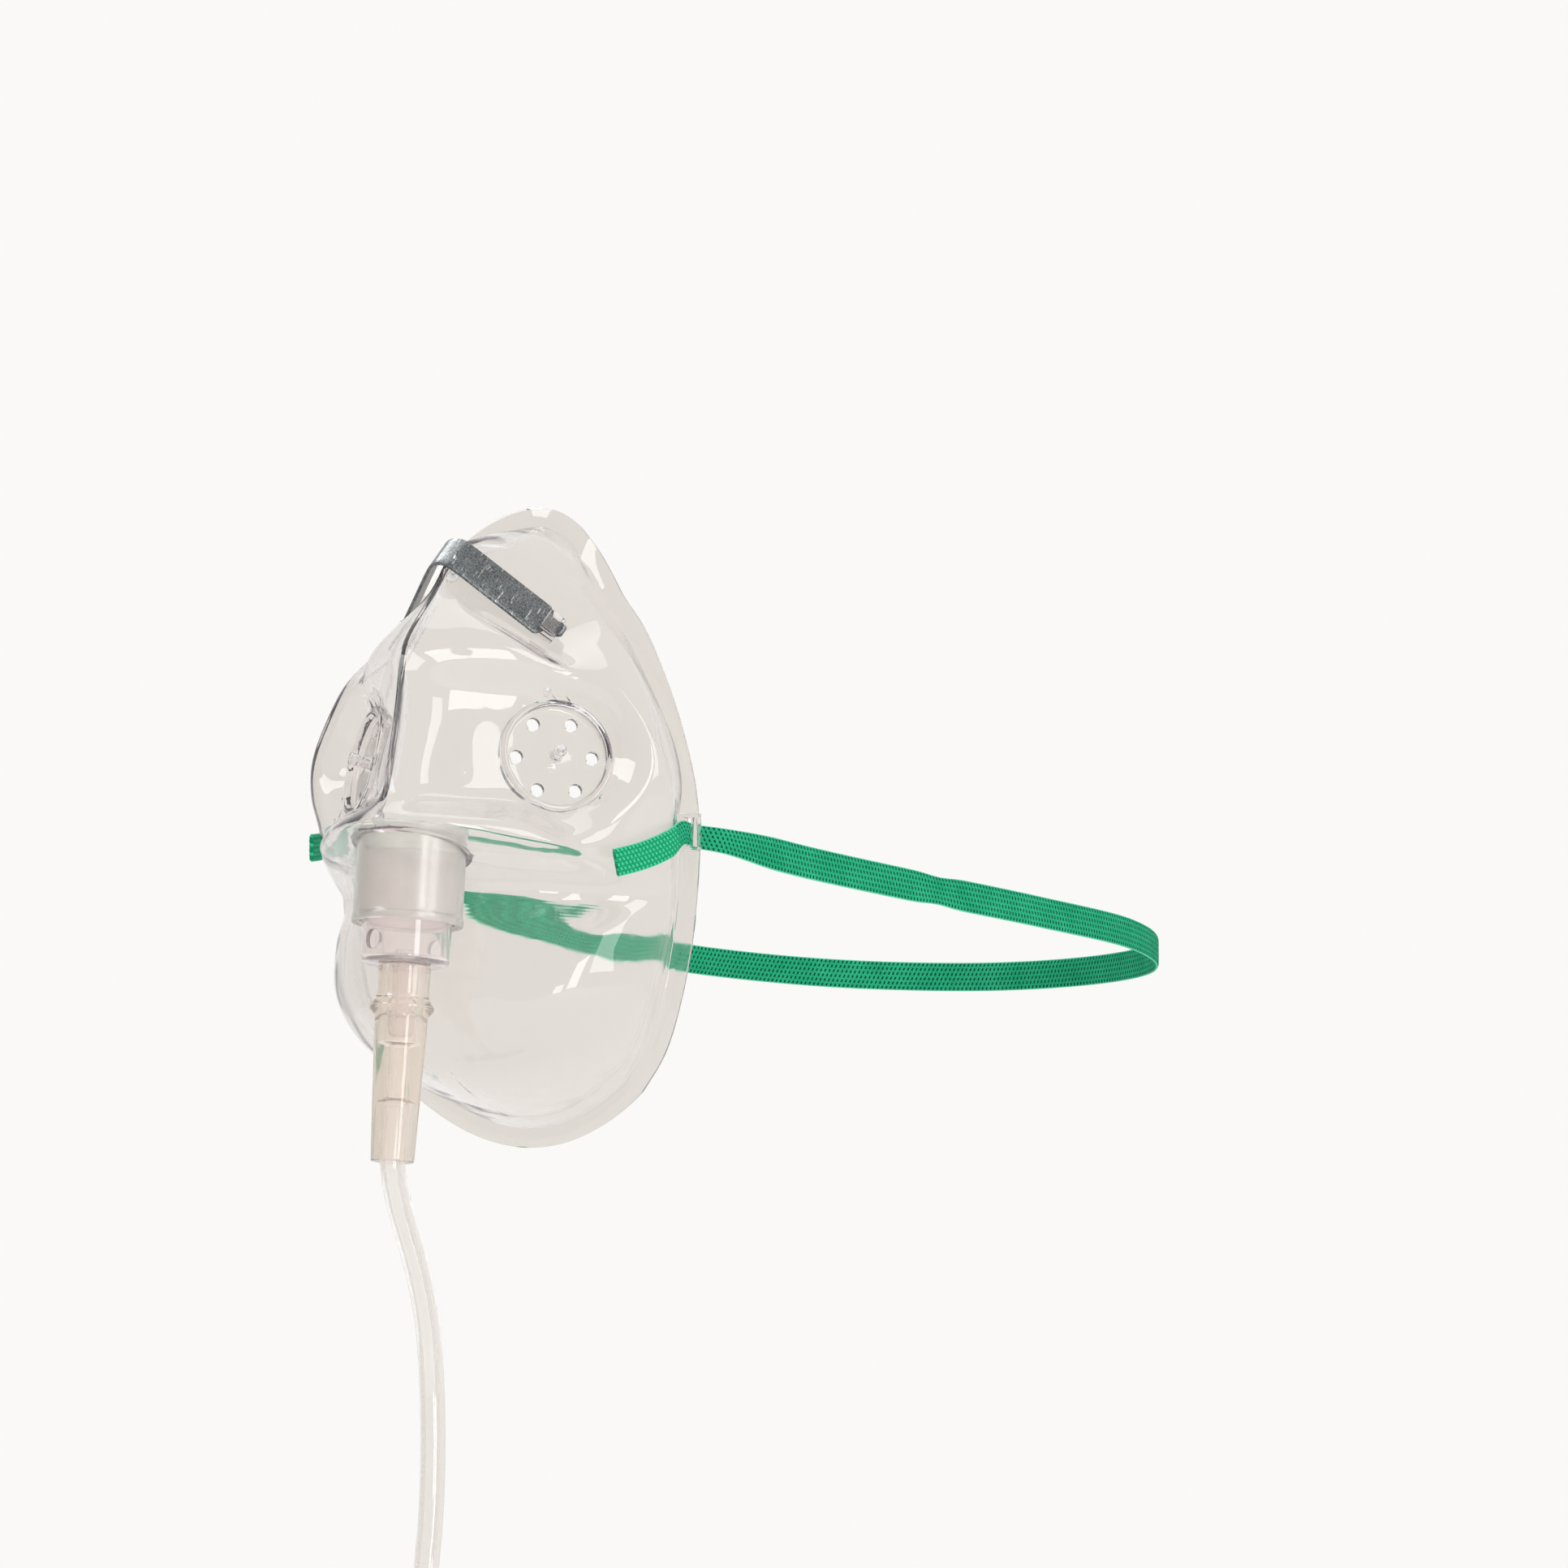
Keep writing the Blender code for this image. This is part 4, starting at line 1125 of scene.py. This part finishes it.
def addInletAdapter():
    plug = inletSizes["collarDiameter"] / 2 - inletSizes["collarWall"] - inletSizes["fitGap"]
    cup = inletSizes["cupDiameter"] / 2
    wall = inletSizes["cupWall"]
    inner = cup - wall
    nipple = inletSizes["nippleDiameter"] / 2
    barb = inletSizes["barbDiameter"] / 2
    foot = -inletSizes["cupHeight"]
    tip = foot - inletSizes["nippleLength"]
    step = inletSizes["fitGap"] * 2
    corners = [
        (plug - 0.0001, inletSizes["insert"], 0.0004),
        (plug, 0.0022, 0.0003),
        (plug, step, 0.0002),
        (cup, step, 0.0003),
        (cup - 0.0001, foot, inletSizes["cupRound"]),
        (nipple + 0.0012, foot, 0.0008),
        (nipple, foot - 0.0012, 0.0006),
        (nipple, tip + inletSizes["barbLength"], 0.0003),
        (barb, tip + inletSizes["barbLength"] * 0.88, 0.0004),
        (barb - 0.0002, tip + inletSizes["barbLength"] * 0.25, 0.0006),
        (nipple, tip, 0.0003),
        (inletSizes["nippleBore"] / 2, tip, 0.0002),
        (inletSizes["nippleBore"] / 2, foot + wall * 3, 0.0002),
        (nipple, foot + wall * 3, 0.0004),
        (nipple, foot + wall, 0.0004),
        (inner, foot + wall, 0.0008),
        (inner, step + wall, 0.0004),
        (plug - wall, step + wall, 0.0004),
        (plug - wall, inletSizes["insert"], 0.0003),
    ]
    body = turnedMesh(corners, inletSizes["steps"], inletPlace())
    adapter = meshPiece("clearInletAdapter", body, styrene)
    holes, webs = [], []
    for number in range(inletSizes["airHoles"]):
        turn = Matrix.Rotation(math.radians(inletSizes["airHoleTurn"]) + math.pi * number, 4, "Z")
        place = inletPlace(inletSizes["airHoleDrop"]) @ turn @ Matrix.Rotation(math.pi / 2, 4, "X")
        radius = inletSizes["airHoleDiameter"] / 2
        hole = turnedMesh(rodCorners(radius, cup + 0.003, cup - 0.004), inletSizes["airHoleSteps"], place)
        holes.append(meshPiece(f"airHole_{number}", hole, styrene))
    for number in range(inletSizes["webs"]):
        # Thin webs brace the nipple under the cup
        turn = Matrix.Rotation(math.tau * (number + 0.3) / inletSizes["webs"], 4, "Z")
        place = inletPlace() @ turn @ Matrix.Translation((nipple + 0.0009, 0.0, foot - 0.0006))
        web = blockMesh(inletSizes["web"], place, 0.0002)
        webs.append(meshPiece(f"adapterWeb_{number}", web, styrene))
    booleanStep(adapter, "UNION", webs)
    booleanStep(adapter, "DIFFERENCE", holes)
    settleModifiers(adapter)
    removePieces(holes + webs)
    shadeSmooth(adapter.data, 42)
    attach(adapter, "root")
    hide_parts("inlet_adapter")


addInletAdapter()
print("inlet adapter made")

# The same soft cuff sits on both ends of the tube
cuffSizes = {
    "length": 0.0425,
    "mouthDiameter": 0.0116,
    "tailDiameter": 0.0094,
    "ringDiameter": 0.014,
    "ringDrop": 0.0092,
    "ringLength": 0.0016,
    "socket": 0.0168,
    "neckDiameter": 0.004,
    "tubeInsert": 0.0127,
    "steps": 80,
}
tubeSizes = {
    "diameter": 0.0055,
    "lumenOuter": 0.00175,  # tips of the star-shaped bore
    "lumenInner": 0.00105,
    "lumenPoints": 5,
    "sides": 40,
    "coilRadius": 0.0327,  # middle of the turns
    "coilPlay": 0.0016,
    "coilLayers": 4,
    "coilCentre": Vector((-0.014, -0.0400, -0.2145)),
    "coilStart": 50.0,  # degrees, where the tube joins the outer layer
    "coilEnd": 12.0,
    "coilPitch": 1.004,  # turns lie this many diameters apart
    "moveLength": 62,  # degrees in which a turn moves to its next cell
    "moveShift": 36,  # and how much earlier each later turn does so
    "realLength": 2.1,
    "supplyTurn": -21.0,
}


def cuffPlace():
    return inletPlace(inletSizes["cupHeight"] + inletSizes["fitGap"])


def supplyPlace():
    reach = (
        tubeSizes["coilRadius"]
        + tubeSizes["coilLayers"] * tubeSizes["diameter"] / 2
        + cuffSizes["tailDiameter"] / 2
        + inletSizes["fitGap"]
    )
    angle = math.radians(tubeSizes["supplyTurn"])
    spot = tubeSizes["coilCentre"] + Vector((math.cos(angle), 0.0, math.sin(angle))) * reach
    down = Matrix.Rotation(math.pi, 4, "X")
    return Matrix.Translation(spot) @ down @ Matrix.Translation((0.0, 0.0, cuffSizes["length"]))


def addCuff(name, node, place):
    mouth, tail = cuffSizes["mouthDiameter"] / 2, cuffSizes["tailDiameter"] / 2
    ring, drop = cuffSizes["ringDiameter"] / 2, cuffSizes["ringDrop"]
    socket = inletSizes["barbDiameter"] / 2 + inletSizes["fitGap"]
    seat = tubeSizes["diameter"] / 2 + inletSizes["fitGap"]
    neck, length = cuffSizes["neckDiameter"] / 2, cuffSizes["length"]
    tubeEnd = -(length - cuffSizes["tubeInsert"]) + inletSizes["fitGap"]
    corners = [
        (mouth, 0.0, 0.0004),
        (mouth - 0.0001, -drop + 0.0022, 0.0012),
        (ring, -drop + 0.0004, 0.0004),
        (ring, -drop - 0.0003, 0.0003),
        (mouth, -drop - cuffSizes["ringLength"], 0.0006),
        (tail, -length, 0.0004),
        (seat, -length, 0.0003),
        (seat, tubeEnd, 0.0004),
        (neck, tubeEnd + 0.0006, 0.0004),
        (neck, -cuffSizes["socket"] - 0.0006, 0.0004),
        (socket, -cuffSizes["socket"], 0.0004),
        (socket, 0.0, 0.0003),
    ]
    cuff = meshPiece(name, turnedMesh(corners, cuffSizes["steps"], place), amberPvc, 50.0)
    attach(cuff, "root")
    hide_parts(node)
    return cuff


maskCuff = addCuff("amberTubeCuff", "tube_cuff", cuffPlace())
supplyCuff = addCuff("amberSupplyCuff", "supply_cuff", supplyPlace())
print("cuffs made")

# Down from the cuff in the mask's middle plane, then to the right onto the coil
tubeRoute = [
    (0.0, -0.0516, -0.0852),
    (0.0, -0.0462, -0.0942),
    (0.0, -0.0418, -0.1032),
    (0.0, -0.0388, -0.1121),
    (0.0, -0.0373, -0.1214),
    (0.0, -0.0366, -0.1300),
    (0.0, -0.0364, -0.1390),
    (0.0, -0.0368, -0.1479),
    (0.0, -0.0377, -0.1564),
    (0.0, -0.0390, -0.1637),
    (0.0014, -0.0398, -0.1700),
    (0.0052, -0.0400, -0.1752),
]
# Layer and column of each turn of the coil, in the order in which the tube is wound
coilCells = [(4, 0), (4, 1), (3, 1), (2, 1), (1, 1), (1, 0), (2, 0), (3, 0), (3, -1), (4, -1)]


# A point of the coil after so many degrees of winding
# Each turn moves over to its next cell in a stretch of its own, so that no two cross
def coilSpot(travel, radius):
    turns = len(coilCells) - 1
    turn = min(int(travel // 360), turns)
    layer, column = coilCells[turn]
    if turn < turns:
        moveStart = 360 * turn + tubeSizes["moveShift"] * (turns - 1 - turn)
        share = easeShare((travel - moveStart) / tubeSizes["moveLength"])
        nextLayer, nextColumn = coilCells[turn + 1]
        layer += (nextLayer - layer) * share
        column += (nextColumn - column) * share
    middleLayer = (tubeSizes["coilLayers"] + 1) / 2
    reach = radius + (layer - middleLayer) * tubeSizes["diameter"] * tubeSizes["coilPitch"]
    angle = math.radians(tubeSizes["coilStart"] - travel)
    depth = -column * tubeSizes["diameter"]
    return tubeSizes["coilCentre"] + Vector((math.cos(angle) * reach, depth, math.sin(angle) * reach))


def tubePath(radius):
    start = cuffPlace() @ Vector((0.0, 0.0, -(cuffSizes["length"] - cuffSizes["tubeInsert"])))
    leaving = cuffPlace() @ Vector((0.0, 0.0, -cuffSizes["length"]))
    route = [start, (start + leaving) / 2, leaving] + [Vector(point) for point in tubeRoute]
    whole = 360 * (len(coilCells) - 1) + tubeSizes["coilStart"] - tubeSizes["coilEnd"]
    pieces = round(whole / 12)  # a point every 12 degrees
    route += [coilSpot(whole * step / pieces, radius) for step in range(pieces + 1)]
    # It leaves the coil in a short bend for the supply cuff
    tail = supplyPlace() @ Vector((0.0, 0.0, -cuffSizes["length"]))
    last = route[-1]
    route.append(last.lerp(tail, 0.34) + Vector((-0.0002, -0.0008, 0.0)))
    route.append(last.lerp(tail, 0.70) + Vector((0.0002, -0.0003, 0.0)))
    down = Vector((0.0, 0.0, -cuffSizes["tubeInsert"]))
    route += [tail, tail + down / 2, tail + down]
    return steppedCurve(route, 2)


# The turns are drawn a little tighter or looser until the tube has its real length
def fittedTubePath():
    low = tubeSizes["coilRadius"] - tubeSizes["coilPlay"]
    high = tubeSizes["coilRadius"] + tubeSizes["coilPlay"]
    for _ in range(20):
        middle = (low + high) / 2
        points = tubePath(middle)
        length = sum((b - a).length for a, b in zip(points, points[1:]))
        if length < tubeSizes["realLength"]:
            low = middle
        else:
            high = middle
    print("coil radius", round(middle, 5), "tube length", round(length, 4))
    return points


# A round tube with a star-shaped bore, swept along the path
def sweepTree():
    sizes = {
        "Outside Radius": tubeSizes["diameter"] / 2,
        "Star Tips": tubeSizes["lumenOuter"],
        "Star Hollows": tubeSizes["lumenInner"],
        "Star Points": tubeSizes["lumenPoints"],
        "Sides": tubeSizes["sides"],
    }
    tree, values = sizedTree("starLumenTube", sizes, takesPath=True)
    given = addNode(tree, "NodeGroupInput")
    outline = addNode(
        tree,
        "GeometryNodeCurvePrimitiveCircle",
        {"Resolution": given.outputs["Sides"], "Radius": given.outputs["Outside Radius"]},
    )
    wall = addNode(
        tree,
        "GeometryNodeCurveToMesh",
        {"Curve": given.outputs["Path"], "Profile Curve": outline, "Fill Caps": True},
    )
    star = addNode(
        tree,
        "GeometryNodeCurveStar",
        {
            "Points": given.outputs["Star Points"],
            "Inner Radius": given.outputs["Star Hollows"],
            "Outer Radius": given.outputs["Star Tips"],
        },
    )
    inside = addNode(
        tree, "GeometryNodeTrimCurve", {"Curve": given.outputs["Path"], "Start": 0.0002, "End": 0.9998}
    )
    lumen = addNode(
        tree, "GeometryNodeCurveToMesh", {"Curve": inside, "Profile Curve": star, "Fill Caps": True}
    )
    turned = addNode(tree, "GeometryNodeFlipFaces", {"Mesh": lumen})
    both = addNode(tree, "GeometryNodeJoinGeometry")
    tree.links.new(turned.outputs["Mesh"], both.inputs["Geometry"])
    tree.links.new(wall.outputs["Mesh"], both.inputs["Geometry"])
    real = addNode(tree, "GeometryNodeRealizeInstances", {"Geometry": both})
    finish = addNode(tree, "GeometryNodeSetMaterial", {"Geometry": real, "Material": tubePvc})
    addNode(tree, "NodeGroupOutput", {"Geometry": finish})
    return tree, values


def addOxygenTube():
    points = fittedTubePath()
    curve = bpy.data.curves.new("tubePath", "CURVE")
    curve.dimensions = "3D"
    spline = curve.splines.new("POLY")
    spline.points.add(len(points) - 1)
    for spot, point in zip(spline.points, points):
        spot.co = (*point, 1.0)
    path = linkedObject("tubePath", curve)
    addTree(path, *sweepTree())
    bpy.context.view_layer.update()
    evaluated = path.evaluated_get(bpy.context.evaluated_depsgraph_get())
    tube = linkedObject("starLumenOxygenTube", bpy.data.meshes.new_from_object(evaluated))
    removePieces([path])
    shadeSmooth(tube.data, 50)
    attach(tube, "root")
    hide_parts("oxygen_tube", "tube_coil")
    return tube, points


tube, tubePoints = addOxygenTube()
print("tube made:", len(tube.data.polygons), "faces")

tieSizes = {
    "turn": 112.0,  # degrees round the coil
    "width": 0.006,
    "thickness": 0.0005,
    "gap": 0.0004,
    "lap": 0.006,
    "edgeRound": 0.00012,
    "coilReach": 0.06,  # only strands nearer the coil's middle than this lie in the tie
    "roundSteps": 36,
}


# Outline of a set of points in a plane, counter-clockwise
def hullOf(points):
    ordered = sorted(set(points))
    halves = []
    for sequence in (ordered, ordered[::-1]):
        half = []
        for x, y in sequence:
            while len(half) > 1:
                (ax, ay), (bx, by) = half[-2:]
                if (bx - ax) * (y - ay) > (by - ay) * (x - ax):
                    break
                half.pop()
            half.append((x, y))
        halves.append(half[:-1])
    return halves[0] + halves[1]


# A white strip drawn tight round the bundle, its end lapped and stuck on the outside
def addCoilTie():
    angle = math.radians(tieSizes["turn"])
    radial = Vector((math.cos(angle), 0.0, math.sin(angle)))
    around = Vector((-math.sin(angle), 0.0, math.cos(angle)))
    centre = tubeSizes["coilCentre"]
    strands = []
    for a, b in zip(tubePoints, tubePoints[1:]):
        first, second = (a - centre).dot(around), (b - centre).dot(around)
        if first * second <= 0 and (a - centre).dot(radial) > 0:
            share = first / (first - second) if first != second else 0.0
            spot = a.lerp(b, share) - centre
            if spot.dot(radial) < tieSizes["coilReach"]:
                strands.append((spot.dot(radial), spot.y))
    reach = tubeSizes["diameter"] / 2 + tieSizes["gap"]
    turns = [math.tau * step / tieSizes["roundSteps"] for step in range(tieSizes["roundSteps"])]
    ringPoints = [
        (round(x + reach * math.cos(turn), 7), round(y + reach * math.sin(turn), 7))
        for x, y in strands
        for turn in turns
    ]
    whole = [Vector(point) for point in hullOf(ringPoints)]
    # The lap goes once more along the outline's first stretch, one thickness further out
    path, travelled, index = list(whole), 0.0, 0
    while travelled < tieSizes["lap"]:
        a, b = whole[index % len(whole)], whole[(index + 1) % len(whole)]
        travelled += (b - a).length
        path.append(a.copy())
        index += 1
    bm = bmesh.new()
    rows = []
    for number, spot in enumerate(path):
        before, after = path[max(number - 1, 0)], path[min(number + 1, len(path) - 1)]
        run = (after - before).normalized() if (after - before).length else Vector((1.0, 0.0))
        outward = Vector((run.y, -run.x))
        lift = tieSizes["thickness"] * 1.1 * easeShare((number - len(whole) + 6) / 6)
        row = []
        for away, side in ((0, -1), (0, 1), (1, 1), (1, -1)):
            flat = spot + outward * (lift + away * tieSizes["thickness"])
            middle = centre + radial * flat.x + Vector((0.0, flat.y, 0.0))
            row.append(bm.verts.new(middle + around * side * tieSizes["width"] / 2))
        rows.append(row)
    for first, second in zip(rows, rows[1:]):
        for c in range(4):
            bm.faces.new((first[c], first[(c + 1) % 4], second[(c + 1) % 4], second[c]))
    bm.faces.new(rows[0])
    bm.faces.new(rows[-1][::-1])
    bmesh.ops.recalc_face_normals(bm, faces=bm.faces)
    tie = meshPiece("whiteCoilTie", bm, bandPlastic, 40.0)
    addBevel(tie, tieSizes["edgeRound"])
    settleModifiers(tie)
    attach(tie, "root")
    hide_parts("coil_tie")
    return tie


coilTie = addCoilTie()
print("coil tied")

# From the left lug round the back of the head to the right lug
strapRoundHead = [
    (0.0500, 0.0100, -0.0050),
    (0.0565, 0.0350, -0.0083),
    (0.0660, 0.0700, -0.0120),
    (0.0790, 0.1150, -0.0166),
    (0.0860, 0.1550, -0.0205),
    (0.0780, 0.1900, -0.0245),
    (0.0520, 0.2120, -0.0270),
    (0.0150, 0.2180, -0.0280),
    (-0.0240, 0.2040, -0.0265),
    (-0.0520, 0.1700, -0.0225),
    (-0.0630, 0.1250, -0.0165),
    (-0.0630, 0.0800, -0.0105),
    (-0.0575, 0.0400, -0.0060),
    (-0.0500, 0.0100, -0.0032),
]
strapTail = [(0.0386, -0.0250, -0.0108), (0.0417, -0.0175, -0.0088), (0.0440, -0.0100, -0.0060)]


def strapPoints():
    centre = lugCentre()
    centre.z -= 0.0004
    through = [centre + Vector((0.0, -0.0035, 0.0)), centre, centre + Vector((0.0, 0.0042, -0.0004))]
    left = [Vector(point) for point in strapTail] + through
    flip = Vector((-1.0, 1.0, 1.0))
    right = [point * flip for point in reversed(left)]
    for point, rise in zip(reversed(right), strapSizes["rightTailRise"]):
        point.z += rise
    route = left + [Vector(point) for point in strapRoundHead] + right
    return steppedCurve(route, 18)


# Flat elastic with lengthwise ribs, gathered a little where it goes through the lugs
def addHeadStrap():
    points = strapPoints()
    lugY = lugCentre().y
    slotSpace = strapSizes["lugHeight"] - 2 * strapSizes["slotMargin"] - strapSizes["slotPlay"]
    across = weaveSizes["ribs"] * strapSizes["columnsPerRib"]
    bm = bmesh.new()
    weave = bm.loops.layers.uv.new("strapWeave")
    rows, places, stretches, travelled = [], [], [], 0.0
    for index, point in enumerate(points):
        run = (points[min(index + 1, len(points) - 1)] - points[max(index - 1, 0)]).normalized()
        up = (Vector((0.0, 0.0, 1.0)) - run.z * run).normalized()
        side = run.cross(up)
        if index:
            travelled += (point - points[index - 1]).length
        onTail = point.y < lugY
        reach = strapSizes["easeBefore" if onTail else "easeAfter"]
        nearness = easeShare(1 - abs(point.y - lugY) / reach)
        full = strapSizes["tailWidth" if onTail else "width"]
        width = full + (slotSpace - full) * nearness
        # Once round each side the elastic is drawn together a little
        gather = math.exp(-(((point.y - strapSizes["gatherAt"]) / strapSizes["gatherLength"]) ** 2))
        width *= 1 - strapSizes["gather"] * gather
        stretches.append(0.0 if point.y < lugY - strapSizes["looseFrom"] else 1.0)
        row = []
        for face in (1, -1):
            for column in range(across + 1):
                share = column / across if face > 0 else 1 - column / across
                ripple = abs(math.sin(math.pi * share * weaveSizes["ribs"]))
                thinning = min(1.0, 0.35 + 6.0 * min(share, 1 - share))
                half = strapSizes["thickness"] / 2 * thinning - strapSizes["ribHeight"] * (1 - ripple)
                row.append(bm.verts.new(point + up * (share - 0.5) * width + side * face * half))
        rows.append(row)
        places.append(travelled / strapSizes["width"])
    ring = 2 * (across + 1)
    shares = [c / across for c in range(across + 1)] + [1 - c / across for c in range(across + 1)]
    for number, (first, second) in enumerate(zip(rows, rows[1:])):
        for c in range(ring):
            following = (c + 1) % ring
            face = bm.faces.new((first[c], first[following], second[following], second[c]))
            spots = ((c, number), (following, number), (following, number + 1), (c, number + 1))
            for loop, (column, row) in zip(face.loops, spots):
                loop[weave].uv = (shares[column], places[row])
    for row, place in ((rows[0], places[0]), (rows[-1], places[-1])):
        for c in range(across):
            face = bm.faces.new((row[c], row[c + 1], row[ring - 2 - c], row[ring - 1 - c]))
            for loop in face.loops:
                loop[weave].uv = (shares[c], place)
    bmesh.ops.recalc_face_normals(bm, faces=bm.faces)
    strap = meshPiece("greenHeadStrap", bm, elastic, 50.0)
    stretch = strap.data.attributes.new("stretch", "FLOAT", "POINT")
    stretch.data.foreach_set("value", [value for value in stretches for _ in range(ring)])
    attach(strap, "root")
    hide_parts("head_strap")


addHeadStrap()
print("strap made")

stageSizes = {
    "floorRadius": 0.9,
    "pale": "#FAF9F7",  # floor and backdrop
    "through": "#E1DCD4",  # the backdrop seen through clear plastic
    "front": "#BCBCBD",  # the darker studio that reflections find in front
    "room": 0.42,  # light from all round
}
# Name, size, watts, place and aim of each lamp
softboxes = [
    ("keySoftbox", (0.42, 0.55), 4.6, (-0.75, -0.95, 0.80), (0.0, -0.02, 0.0)),
    ("windowSoftbox", (0.24, 0.75), 4.2, (0.92, -0.60, 0.08), (0.0, -0.02, 0.0)),
    ("sideSoftbox", (0.35, 0.80), 4.5, (1.008, -0.196, 0.394), (0.0, -0.02, 0.0)),
    ("chinSoftbox", (0.20, 0.60), 2.6, (0.66, -0.78, -0.36), (0.0, -0.02, 0.0)),
    ("backSoftbox", (0.50, 0.50), 4.2, (-0.50, 0.38, 0.95), (0.0, -0.02, 0.02)),
    ("topSoftbox", (0.90, 0.90), 5.0, (0.0, 0.1, 1.5), (0.0, 0.0, 0.0)),
]


def addFloor():
    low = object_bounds()[0]
    bm = bmesh.new()
    bmesh.ops.create_circle(bm, cap_ends=True, segments=96, radius=stageSizes["floorRadius"])
    bmesh.ops.translate(bm, verts=bm.verts[:], vec=Vector((0.0, 0.05, low.z - 0.0002)))
    material, tree = emptyMaterial("paleFloor")
    pale = addNode(
        tree, "ShaderNodeBsdfDiffuse", {"Color": linearColour(stageSizes["pale"]), "Roughness": 0.5}
    )
    addNode(tree, "ShaderNodeOutputMaterial", {"Surface": pale})
    floor = meshPiece("studioFloor", bm, material)


def addSoftbox(name, size, watts, spot, aim):
    lamp = linkedObject(name, bpy.data.lights.new(name, "AREA"))
    lamp.data.shape = "RECTANGLE"
    lamp.data.size, lamp.data.size_y = size
    lamp.data.energy = watts
    lamp.location = spot
    lamp.rotation_euler = (Vector(spot) - Vector(aim)).to_track_quat("Z", "Y").to_euler()
    lamp.visible_camera = False
    lamp.visible_transmission = False


def addWorld():
    world = bpy.data.worlds.new("paleStudio")
    scene.world = world
    world.use_nodes = True
    tree = world.node_tree
    tree.nodes.clear()
    path = addNode(tree, "ShaderNodeLightPath")
    direction = addNode(tree, "ShaderNodeTexCoord").outputs["Generated"]
    way = addNode(tree, "ShaderNodeSeparateXYZ", {"Vector": direction})
    # Reflections find the pale backdrop behind the mask and a darker studio in front of it
    turn = addNode(
        tree, "ShaderNodeMapRange", {"Value": way.outputs["Y"], "From Min": -0.7, "From Max": 0.5}
    )
    seen = addNode(
        tree,
        "ShaderNodeMix",
        {0: turn, 6: linearColour(stageSizes["front"]), 7: linearColour(stageSizes["pale"])},
        data_type="RGBA",
    )
    reflected = addNode(tree, "ShaderNodeBackground", {"Color": seen.outputs[2], "Strength": 1.0})
    # Through the clear plastic the backdrop is a shade warmer and deeper, so that its walls show
    behind = addNode(
        tree,
        "ShaderNodeMix",
        {
            0: path.outputs["Is Transmission Ray"],
            6: linearColour(stageSizes["pale"]),
            7: linearColour(stageSizes["through"]),
        },
        data_type="RGBA",
    )
    backdrop = addNode(tree, "ShaderNodeBackground", {"Color": behind.outputs[2], "Strength": 1.0})
    room = addNode(
        tree, "ShaderNodeBackground", {"Color": linearColour("#FFFFFF"), "Strength": stageSizes["room"]}
    )
    lit = addNode(tree, "ShaderNodeMixShader", {0: path.outputs["Is Glossy Ray"], 1: room, 2: reflected})
    direct = addNode(
        tree,
        "ShaderNodeMath",
        {0: path.outputs["Is Camera Ray"], 1: path.outputs["Is Transmission Ray"]},
        operation="MAXIMUM",
    )
    whole = addNode(tree, "ShaderNodeMixShader", {0: direct, 1: lit, 2: backdrop})
    addNode(tree, "ShaderNodeOutputWorld", {"Surface": whole})


addFloor()
for softbox in softboxes:
    addSoftbox(*softbox)
addWorld()
scene.view_settings.view_transform = "Standard"
print("stage made")
